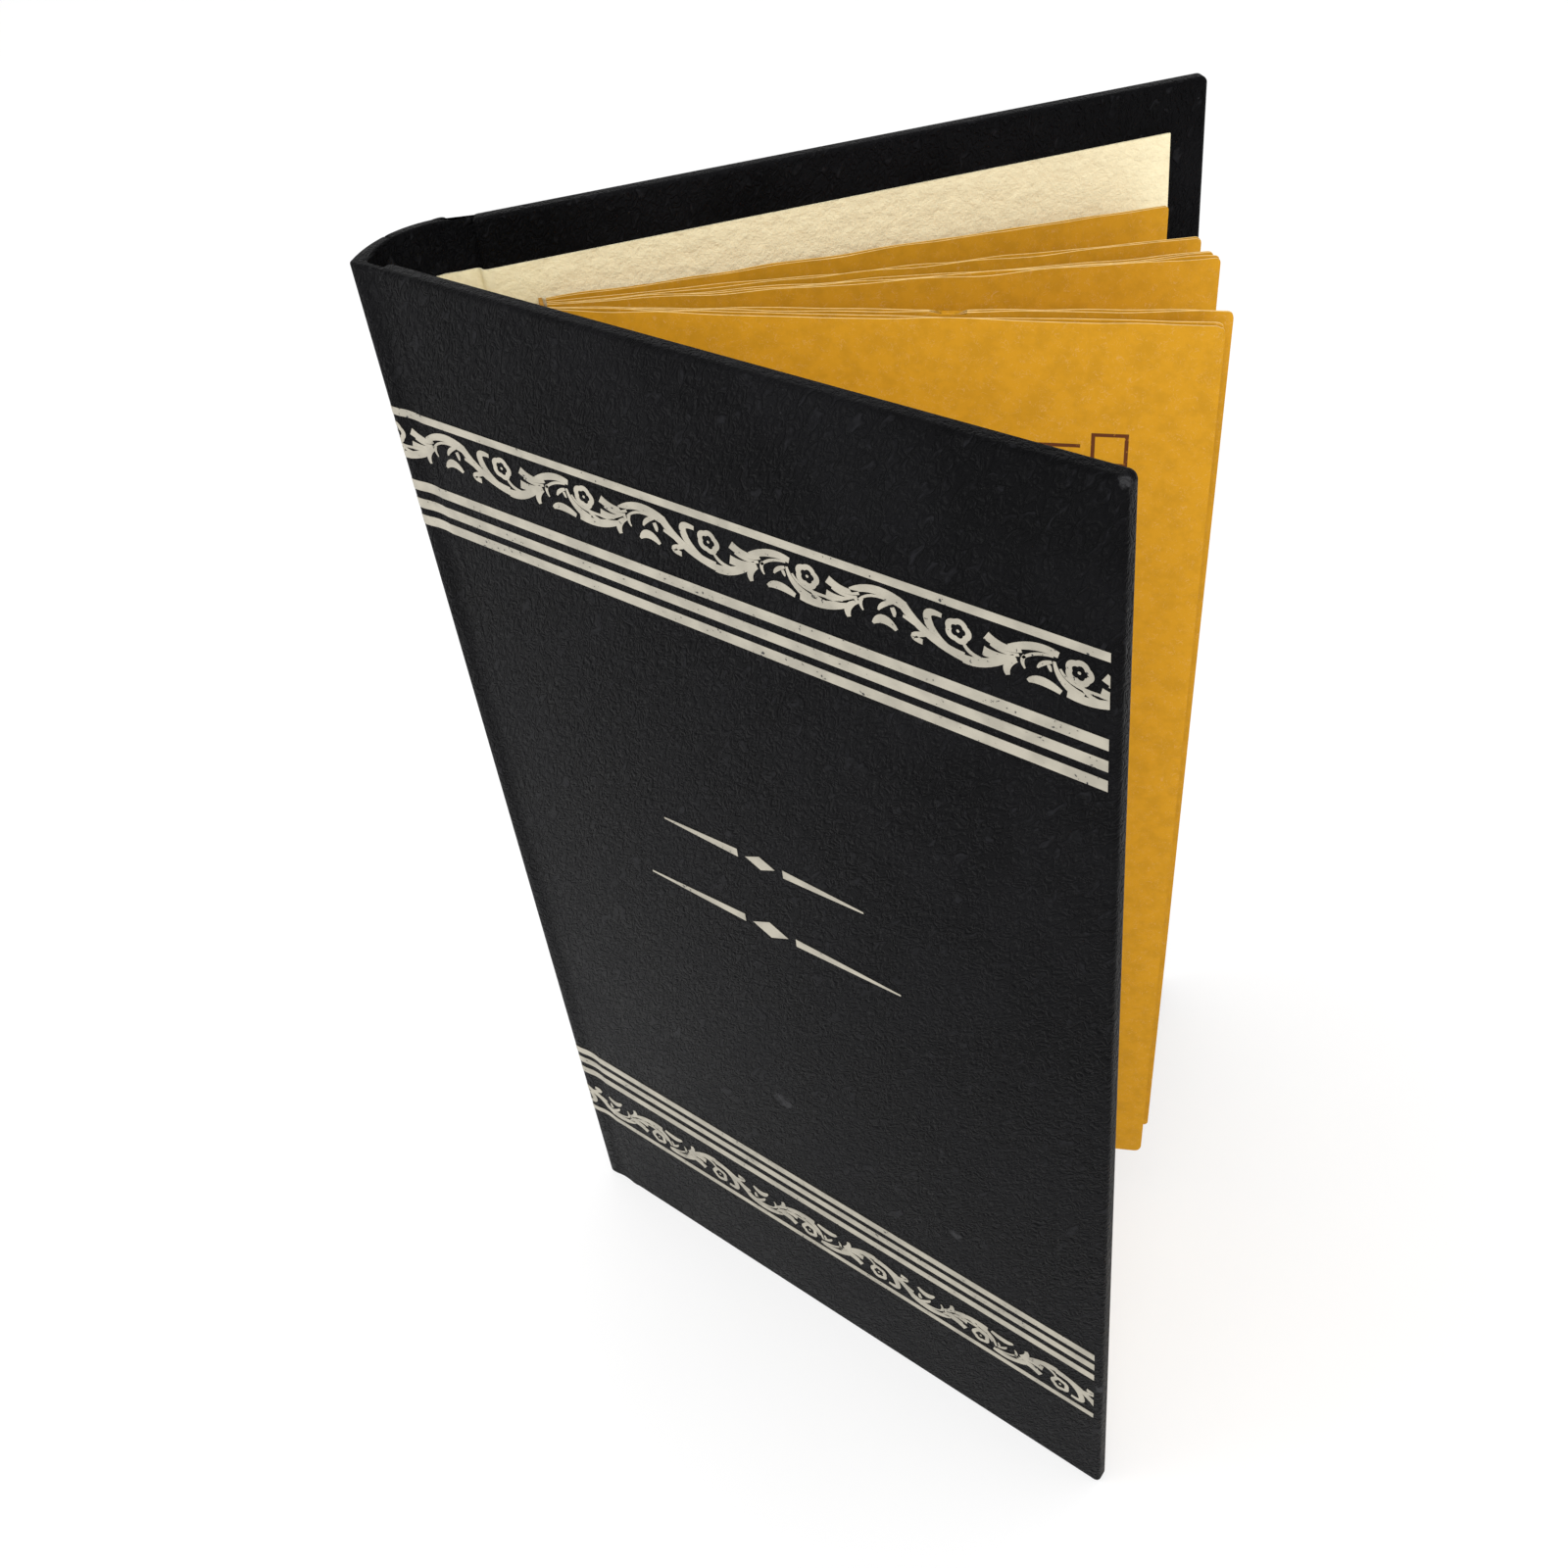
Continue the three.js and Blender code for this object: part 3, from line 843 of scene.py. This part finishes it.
class WALLET_OT_lining(bpy.types.Operator):
    """Model the lining sheets with their folds into the grooves"""

    bl_idname = "wallet.lining"
    bl_label = "Lining"

    def execute(self, context):
        settings = context.scene.wallet_case
        colour = tuple(settings.lining_colour)
        paper = paper_material("lining paper", colour, fibre_group(), 1.4, 0.05, LINING_RELIEF)[0]
        for name, line, side, bend, nodes in (
            ("front_lining_sheet", front_lining_line(), 1, bend_front,
             ("front_lining", "spine_lining")),
            ("back_lining_sheet", back_lining_line(), -1, bend_back, ("back_lining",)),
        ):
            outline = line + beside(line, side * LINING_PAPER)[::-1]
            sheet = raised_outline(name, outline, LINING_TOP_INSET, HEIGHT - LINING_TOP_INSET)
            smooth(sheet, 40)
            dress(sheet, paper)
            bend(sheet)
            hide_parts(*nodes)
        return {"FINISHED"}


def fibre_group():
    """The paper fibres group, built once."""
    return bpy.data.node_groups.get("Paper fibres") or fibre_effect()


# Foil stamping


def foil_face_line():
    """The front's outside in (x, depth): the shoulder, the groove and the face."""
    outer = front_outer_line()
    line = [point - front_point(0, 0) for point in outer[FOIL_FIRST_POINT:]]
    line.append(Vector((FACE_START, 0)))
    line.append(Vector((COVER_WIDTH - FOIL_END, 0)))
    return line


def face_depth(line, x):
    """The depth of the front's outside at x."""
    for before, after in zip(line, line[1:]):
        if before.x <= x <= after.x:
            return before.y + (after.y - before.y) * (x - before.x) / (after.x - before.x)
    return line[0].y if x < line[0].x else line[-1].y


def foil_rule(name, offset, width, film):
    """One rule of foil along the front, offset being the height of its middle."""
    line = [front_point(point.x, point.y) for point in foil_face_line()]
    outline = beside(line, -film / MM) + beside(line, FOIL_ROOT)[::-1]
    return raised_outline(name, outline, offset - width / 2, offset + width / 2)


def stroke(path, widths, steps=9):
    """A flat stroke drawn on the cover's face: three path points and three widths."""
    start_clean()
    bpy.ops.mesh.primitive_grid_add(x_subdivisions=steps, y_subdivisions=1, size=1)
    piece = bpy.context.object
    a, b, c = (Vector(point) for point in path)
    for vertex in piece.data.vertices:
        share = vertex.co.x + 0.5
        point = a * (1 - share) ** 2 + b * 2 * share * (1 - share) + c * share * share
        along = ((b - a) * (1 - share) + (c - b) * share).normalized()
        width = widths[0] * (1 - share) ** 2 + widths[2] * share * share
        width += widths[1] * 2 * share * (1 - share)
        point += Vector((-along.y, along.x)) * width * vertex.co.y
        vertex.co = (point.x, 0, point.y)
    return piece


def ring(centre, radius, width, lobes=5, steps=40):
    """A flower's outline: a closed stroke with lobes."""
    start_clean()
    bpy.ops.mesh.primitive_grid_add(x_subdivisions=steps, y_subdivisions=1, size=1)
    piece = bpy.context.object
    for vertex in piece.data.vertices:
        turn = (vertex.co.x + 0.5) * 2 * pi
        swell = 0.16 * abs(cos(turn * lobes / 2)) - 0.06
        reach = radius * (1 + swell) + width * vertex.co.y
        vertex.co = (centre[0] + reach * cos(turn), 0, centre[1] + reach * sin(turn))
    bpy.ops.object.mode_set(mode="EDIT")
    bpy.ops.mesh.select_all(action="SELECT")
    bpy.ops.mesh.remove_doubles(threshold=1e-5)
    bpy.ops.object.mode_set(mode="OBJECT")
    return piece


def dot(centre, radius):
    """A small filled round."""
    start_clean()
    bpy.ops.mesh.primitive_circle_add(vertices=10, radius=radius, fill_type="NGON")
    piece = bpy.context.object
    for vertex in piece.data.vertices:
        vertex.co = (centre[0] + vertex.co.x, 0, centre[1] + vertex.co.y)
    return piece


# Strokes of the running scroll, in millimetres from the second flower: path points and widths
LEAF_CLUSTER = [
    (((-11.1, 1.8), (-9.2, 0.6), (-6.8, 1.4)), (0.79, 0.58, 0.32)),
    (((-10.6, 0.8), (-9.0, 0.1), (-7.1, 0.7)), (0.21, 0.34, 0.24)),
    (((-11.5, -0.4), (-9.8, -0.8), (-7.5, 0.2)), (0.84, 0.58, 0.37)),
    (((-7.4, -0.1), (-9.1, -1.2), (-8.5, -2.5)), (0.32, 0.79, 0.37)),
    (((-6.4, 0.9), (-7.0, 0.1), (-6.4, -0.8)), (0.26, 0.39, 0.13)),
]
SHORT_ARCH = [
    (((-8.3, 1.3), (-5.0, 3.3), (-2.4, 2.5)), (0.47, 0.79, 0.53)),
    (((-6.7, 0.5), (-5.3, 2.0), (-3.0, 2.1)), (0.21, 0.29, 0.18)),
    (((-2.9, 1.5), (-2.6, -1.1), (0.5, -2.0)), (0.21, 0.58, 0.84)),
    (((-2.2, 0.8), (-1.1, -1.6), (4.8, -0.5)), (0.18, 0.37, 0.18)),
    (((-1.4, -2.2), (2.9, -2.8), (7.0, 0.3)), (0.53, 0.95, 0.42)),
    (((-3.2, 1.3), (-4.5, 0.8), (-4.9, -0.1)), (0.21, 0.53, 0.13)),
    (((-3.6, 0.8), (-3.4, 0.4), (-3.3, 0.0)), (0.26, 0.37, 0.13)),
    (((-6.1, -2.3), (-4.6, -1.1), (-2.1, -2.3)), (0.26, 1.16, 0.42)),
    (((0.2, -0.3), (1.0, -1.8), (2.7, -1.6)), (0.26, 0.45, 0.18)),
]
LONG_ARCH = [
    (((6.0, 1.4), (9.6, 3.7), (13.3, 1.8)), (0.42, 0.84, 0.84)),
    (((13.0, 2.0), (15.8, -1.8), (20.8, -2.3)), (0.84, 0.58, 0.84)),
    (((7.1, 0.5), (9.4, 3.0), (13.9, 1.0)), (0.18, 0.29, 0.18)),
    (((11.9, 1.8), (10.1, 1.1), (9.7, 0.0)), (0.21, 0.63, 0.13)),
    (((11.6, 1.0), (11.9, 0.4), (11.8, -0.2)), (0.37, 0.53, 0.16)),
    (((8.8, -2.1), (10.3, -0.1), (12.0, -2.0)), (0.21, 1.32, 0.32)),
    (((13.0, 0.4), (15.1, -0.1), (18.5, -2.0)), (0.24, 0.58, 0.32)),
    (((15.4, -2.3), (13.0, -2.0), (15.8, -1.1)), (0.47, 0.63, 0.37)),
    (((18.1, 2.3), (15.5, 2.8), (16.5, 0.5)), (0.37, 0.68, 0.68)),
    (((16.3, 0.8), (17.5, -1.8), (20.2, -2.0)), (0.68, 0.63, 0.21)),
    (((20.6, -2.5), (23.2, -2.8), (27.1, 0.3)), (0.74, 0.89, 0.42)),
    (((20.8, -0.5), (21.5, -1.8), (23.3, -1.6)), (0.26, 0.45, 0.18)),
]


def scroll_repeat(name):
    """One repeat of the scroll, flat in x and z, its shapes a hair apart in depth."""
    shifted = [
        (tuple((x + CLUSTER_STEP, z) for x, z in path), widths) for path, widths in LEAF_CLUSTER
    ]
    drawings = LEAF_CLUSTER + shifted + SHORT_ARCH + LONG_ARCH
    shapes = []
    for path, widths in drawings:
        shapes.append(stroke(path, [width * STROKE_WEIGHT for width in widths]))
    for place in FLOWER_PLACES:
        shapes.append(ring(place, FLOWER_RADIUS, FLOWER_LINE))
        shapes.append(dot(place, 0.2))
    for i, shape in enumerate(shapes):
        for vertex in shape.data.vertices:
            vertex.co.y = (i % 7) * STROKE_LIFT
    return joined(name, *shapes)


def lay_on_front(piece, line, middle, flip, film):
    """Lays a flat drawing on the front's outside, at a height, and gives it a thickness."""
    for vertex in piece.data.vertices:
        x, lift, z = vertex.co
        plan = front_point(x, face_depth(line, x) - lift - film / MM)
        vertex.co = row_point(plan, middle + flip * z)
    pick(piece)
    bpy.ops.object.mode_set(mode="EDIT")
    bpy.ops.mesh.select_all(action="SELECT")
    bpy.ops.mesh.normals_make_consistent(inside=False)
    bpy.ops.object.mode_set(mode="OBJECT")
    facing = sum(face.normal.y * face.area for face in piece.data.polygons)
    if facing > 0:
        piece.data.flip_normals()
    bpy.ops.object.modifier_add(type="SOLIDIFY")
    piece.modifiers[-1].thickness = film
    piece.modifiers[-1].offset = -1
    bpy.ops.object.modifier_apply(modifier=piece.modifiers[-1].name)


def scroll_band(name, line, middle, flip, film):
    """A band of scroll: the repeat copied along the cover and cut off at both ends."""
    first = scroll_repeat(name)
    copies = [first]
    for i in range(4):
        copy = first.copy()
        copy.data = first.data.copy()
        bpy.context.scene.collection.objects.link(copy)
        for vertex in copy.data.vertices:
            vertex.co.x += SCROLL_START + i * SCROLL_REPEAT
        copies.append(copy)
    for vertex in first.data.vertices:
        vertex.co.x += SCROLL_START - SCROLL_REPEAT
    band = joined(name, *copies)
    if flip < 0:
        for vertex in band.data.vertices:
            vertex.co.x = SCROLL_TURN - vertex.co.x
    bpy.ops.object.mode_set(mode="EDIT")
    for x, facing in ((line[0].x, -1), (line[-1].x, 1)):
        bpy.ops.mesh.select_all(action="SELECT")
        bpy.ops.mesh.bisect(plane_co=(x, 0, 0), plane_no=(facing, 0, 0), clear_outer=True)
    bpy.ops.object.mode_set(mode="OBJECT")
    lay_on_front(band, line, middle, flip, film)
    return band


def cover_ornament(line, film):
    """Two rows of a lozenge between tapering rules."""
    shapes = []
    for height, reach, lozenge in ORNAMENT_LINES:
        for side in (-1, 1):
            inner = ORNAMENT_MIDDLE + side * (lozenge + LOZENGE_GAP)
            outer = ORNAMENT_MIDDLE + side * reach
            path = ((inner, height), ((inner + outer) / 2, height), (outer, height))
            shapes.append(stroke(path, RULE_WIDTHS))
        path = [(ORNAMENT_MIDDLE + side * lozenge, height) for side in (-1, 0, 1)]
        shapes.append(stroke(path, (0.0, 2 * lozenge, 0.0), 2))
    ornament = joined("foil_cover_ornament", *shapes)
    lay_on_front(ornament, line, 0, 1, film)
    return ornament


class WALLET_OT_foil(bpy.types.Operator):
    """Model the foil rules, the scroll bands and the plain ornament of the front cover"""

    bl_idname = "wallet.foil"
    bl_label = "Foil stamping"

    def execute(self, context):
        settings = context.scene.wallet_foil
        dark = tuple(context.scene.wallet_case.paper_colour)
        foil = foil_material(tuple(settings.colour), dark)
        line = foil_face_line()
        for end, flip in (("top", 1), ("bottom", -1)):
            rules = [(f"foil_{end}_rule_outer", *OUTER_RULE)]
            rules += [(f"foil_{end}_rule_{i + 1}", *rule) for i, rule in enumerate(INNER_RULES)]
            for node, offset, width in rules:
                height = HEIGHT - offset if end == "top" else offset
                rule = foil_rule(node + "_film", height, width, settings.film)
                dress(rule, foil)
                bend_front(rule)
                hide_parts(node)
            height = HEIGHT - BAND_MIDDLE if end == "top" else BAND_MIDDLE
            band = scroll_band(f"foil_{end}_scroll_film", line, height, flip, settings.film)
            dress(band, foil)
            bend_front(band)
            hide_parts(f"foil_{end}_scroll")
        ornament = cover_ornament(line, settings.film)
        dress(ornament, foil)
        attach(ornament, "front_cover")
        return {"FINISHED"}


# Envelopes


def sheet_shape(share, length, corner, steps):
    """Where a grid line lies along a sheet: even steps, with finer ones in the round corners."""
    ends = 3
    index = round(share * steps)
    if index <= ends:
        return corner * index / ends
    if index >= steps - ends:
        return length - corner * (steps - index) / ends
    return corner + (length - 2 * corner) * (index - ends) / (steps - 2 * ends)


def rounded(u, v, corner):
    """Pulls a point near a fore corner of the sheet into the round corner."""
    over_u = u - (ENVELOPE_WIDTH - corner)
    over_v = abs(v) - (ENVELOPE_HEIGHT / 2 - corner)
    if over_u <= 0 or over_v <= 0:
        return u, v
    shrink = max(over_u, over_v) / hypot(over_u, over_v)
    sign = 1 if v > 0 else -1
    u = ENVELOPE_WIDTH - corner + over_u * shrink
    v = sign * (ENVELOPE_HEIGHT / 2 - corner + over_v * shrink)
    return u, v


def envelope_point(index, u, v, w):
    """A place on an envelope: u from its bound edge, v from its middle, w through it."""
    angle = radians(FAN_ANGLES[index])
    along = ALONG * cos(angle) + INWARD * sin(angle)
    across = INWARD * cos(angle) - ALONG * sin(angle)
    root = back_point(BINDING_DISTANCE, LINING_FACE + GLUE_GAP + index * BINDING_SPACING)
    reach = ENVELOPE_HEIGHT / 2 * sin(ENVELOPE_LEAN)
    x = reach + u * cos(ENVELOPE_LEAN) + v * sin(ENVELOPE_LEAN)
    z = ENVELOPE_CENTRE - u * sin(ENVELOPE_LEAN) + v * cos(ENVELOPE_LEAN)
    return row_point(root + along * x + across * w, z)


def paper_wave(index, u, v, wave):
    """How far the paper wanders from flat, growing towards the fore edge."""
    share = u / ENVELOPE_WIDTH
    slow = noise.noise(Vector((u / 38, v / 60, index * 7.3)))
    quick = noise.noise(Vector((u / 11, v / 22, index * 3.1 + 20)))
    return (slow * (0.1 + 0.9 * share) + quick * 0.15) * wave / MM


def envelope_ply(name, index, front, settings):
    """One sheet of an envelope, as a grid bent to its place."""
    start_clean()
    across, up = SHEET_STEPS
    corner = ENVELOPE_CORNERS[index]
    bpy.ops.mesh.primitive_grid_add(x_subdivisions=across, y_subdivisions=up, size=1)
    piece = bpy.context.object
    piece.name = name
    piece.data.uv_layers[0].name = "sheet"
    for vertex in piece.data.vertices:
        side = vertex.co.x + 0.5
        rise = vertex.co.y + 0.5
        u = sheet_shape(side, ENVELOPE_WIDTH, corner, across)
        v = sheet_shape(rise, ENVELOPE_HEIGHT, corner, up) - ENVELOPE_HEIGHT / 2
        puff = sin(pi * side) ** 0.6 * (0.25 + 0.75 * rise**2) * PUFF
        w = SHEET_START + paper_wave(index, u, v, settings.wave)
        if front:
            w += POCKET_GAP + puff
        if rise == 1:
            v += noise.noise(Vector((u / 9, index * 5.7, front * 3.0))) * EDGE_WANDER
        u, v = rounded(u, v, corner)
        if index == NOTCHED and rise == 1:
            v -= NOTCH_DEPTH * max(0.0, 1 - abs(u - NOTCH_PLACE) / NOTCH_REACH)
        u -= FORE_TRIMS[index] * side
        v += TOP_RAISES[index] * rise - FOOT_DROPS[index] * (1 - rise)
        vertex.co = envelope_point(index, u, v, w)
    return piece


def envelope(name, index, materials, settings):
    """A pocket of two sheets with paper thickness and cut edges painted lighter as a highlight."""
    plies = [envelope_ply(name, index, front, settings) for front in (False, True)]
    uv_source(plies, ENVELOPE_CORNERS[index])
    pocket = joined(name, *plies)
    for material in materials:
        pocket.data.materials.append(material)
    bpy.ops.object.modifier_add(type="SOLIDIFY")
    thicken = pocket.modifiers[-1]
    thicken.thickness = settings.ply
    thicken.offset = 0
    # the rims take the second material, the paler kraft that paints a highlight on the cut edges
    thicken.material_offset_rim = 1
    bpy.ops.object.modifier_apply(modifier=thicken.name)
    smooth(pocket, 40)
    return pocket


def uv_source(plies, corner):
    """Writes each sheet's own place, from 0 to 1, into its UV map."""
    for ply in plies:
        across, up = SHEET_STEPS
        layer = ply.data.uv_layers["sheet"]
        for loop in ply.data.loops:
            column = loop.vertex_index % (across + 1)
            line = loop.vertex_index // (across + 1)
            u = sheet_shape(column / across, ENVELOPE_WIDTH, corner, across)
            v = sheet_shape(line / up, ENVELOPE_HEIGHT, corner, up)
            layer.data[loop.index].uv = (u / ENVELOPE_WIDTH, v / ENVELOPE_HEIGHT)


class WALLET_OT_envelopes(bpy.types.Operator):
    """Model the six kraft envelopes and finish the tape that binds them"""

    bl_idname = "wallet.envelopes"
    bl_label = "Envelopes"

    def execute(self, context):
        settings = context.scene.wallet_envelopes
        colour = tuple(settings.colour)
        kraft = paper_material("kraft", colour, fibre_group(), 1.0, 0.12)[0]
        printed = printed_material(colour, tuple(settings.print_colour), fibre_group())
        # painted highlight: the paler kraft for the sheets' cut rims
        cut = paper_material("kraft cut edge painted highlight", CUT_EDGE_HIGHLIGHT_COLOUR, fibre_group(), 2.0, 0.2)[0]
        for i in range(len(FAN_ANGLES)):
            last = i == len(FAN_ANGLES) - 1
            papers = [printed if last else kraft, cut]
            pocket = envelope(f"envelope_{i + 1}_pocket", i, papers, settings)
            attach(pocket, "back_cover")
            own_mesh(pocket)
            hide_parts(f"envelope_{i + 1}")
        tape = paper_material("binding tape", TAPE_COLOUR, fibre_group(), 0.6, 0.25)[0]
        frame["nodes"]["binding_tape"].data.materials.clear()
        frame["nodes"]["binding_tape"].data.materials.append(tape)
        return {"FINISHED"}


# Stage


def lamp(name, place, aim, size, power):
    """A large soft lamp that points at a place."""
    bpy.ops.object.light_add(type="AREA", location=place)
    light = bpy.context.object
    light.name = name
    light.data.shape = "DISK"
    light.data.size = size
    light.data.energy = power
    light.rotation_euler = (Vector(aim) - Vector(place)).to_track_quat("-Z", "Y").to_euler()
    return light


class WALLET_OT_stage(bpy.types.Operator):
    """Set the floor, the sky, the lamps and the camera"""

    bl_idname = "wallet.stage"
    bl_label = "Stage"

    def execute(self, context):
        settings = context.scene.wallet_stage
        start_clean()
        bpy.ops.mesh.primitive_plane_add(size=6)
        floor = settle("floor")
        material, tree, shader = new_material("floor")
        place = place_of(tree)
        pale = mix(tree, noise_value(tree, place, 40.0), (0.93, 0.93, 0.93), (0.96, 0.96, 0.96))
        tree.links.new(pale, shader.inputs["Base Color"])
        shader.inputs["Roughness"].default_value = 0.9
        path = put(tree, "ShaderNodeLightPath")
        glow = put(tree, "ShaderNodeEmission", Color=(1, 1, 1, 1), Strength=1.0)
        share = math(tree, "MULTIPLY", path.outputs["Is Camera Ray"], FLOOR_WHITE)
        lit = shader.outputs["BSDF"]
        both = put(tree, "ShaderNodeMixShader", i0=share, i1=lit, i2=glow.outputs["Emission"])
        output = next(node for node in tree.nodes if node.type == "OUTPUT_MATERIAL")
        tree.links.new(both.outputs["Shader"], output.inputs["Surface"])
        floor.data.materials.append(material)
        world = bpy.data.worlds.new("sky")
        bpy.context.scene.world = world
        world.use_nodes = True
        sky = world.node_tree
        sky.nodes.clear()
        path = sky.nodes.new("ShaderNodeLightPath")
        seen = math(sky, "ADD", path.outputs["Is Camera Ray"], path.outputs["Is Glossy Ray"])
        seen = math(sky, "MINIMUM", seen, 1.0)
        level = ramp(sky, seen, 0.0, 1.0, settings.sky, 1.0)
        background = put(sky, "ShaderNodeBackground", Color=(1, 1, 1, 1), Strength=level)
        output = sky.nodes.new("ShaderNodeOutputWorld")
        sky.links.new(background.outputs[0], output.inputs["Surface"])
        lamp("key lamp", (0.5, -0.7, 0.8), (0, 0, 0.1), 0.6, settings.key_power)
        lamp("side lamp", (-0.6, -0.6, 0.5), (0, 0, 0.1), 0.5, settings.key_power * 0.4)
        bpy.ops.object.camera_add(location=CAMERA_PLACE)
        camera = bpy.context.object
        axes = Matrix((CAMERA_RIGHT, CAMERA_UP, CAMERA_BACK)).transposed()
        camera.matrix_world = Matrix.Translation(CAMERA_PLACE) @ axes.to_4x4()
        camera.data.lens = CAMERA_LENS
        camera.data.sensor_width = 36
        camera.data.shift_x, camera.data.shift_y = CAMERA_SHIFT
        camera.data.clip_start = 0.01
        camera.data.dof.use_dof = False
        bpy.context.scene.camera = camera
        bpy.context.scene.view_settings.view_transform = "Standard"
        return {"FINISHED"}


class WALLET_PT_panel(bpy.types.Panel):
    """The wallet's settings and steps in the sidebar"""

    bl_label = "Cash envelope wallet"
    bl_idname = "WALLET_PT_panel"
    bl_space_type = "VIEW_3D"
    bl_region_type = "UI"
    bl_category = "Wallet"

    def draw(self, context):
        for group in GROUPS:
            settings = getattr(context.scene, group)
            for key in settings.bl_rna.properties.keys():
                if key not in ("rna_type", "name"):
                    self.layout.prop(settings, key)
        for step in OPERATORS:
            self.layout.operator(step.bl_idname)


GROUPS = {
    "wallet_case": WalletCaseSettings,
    "wallet_foil": WalletFoilSettings,
    "wallet_envelopes": WalletEnvelopeSettings,
    "wallet_stage": WalletStageSettings,
}
OPERATORS = [WALLET_OT_case, WALLET_OT_lining, WALLET_OT_foil, WALLET_OT_envelopes, WALLET_OT_stage]


def register():
    for name, group in GROUPS.items():
        bpy.utils.register_class(group)
        setattr(bpy.types.Scene, name, PointerProperty(type=group))
    for cls in [*OPERATORS, WALLET_PT_panel]:
        bpy.utils.register_class(cls)


def unregister():
    for cls in [WALLET_PT_panel, *reversed(OPERATORS)]:
        bpy.utils.unregister_class(cls)
    for name, group in reversed(GROUPS.items()):
        delattr(bpy.types.Scene, name)
        bpy.utils.unregister_class(group)


def main():
    register()
    bpy.ops.wallet.case()
    bpy.ops.wallet.lining()
    bpy.ops.wallet.foil()
    bpy.ops.wallet.envelopes()
    bpy.ops.wallet.stage()
    start_clean()


if __name__ == "__main__":
    main()
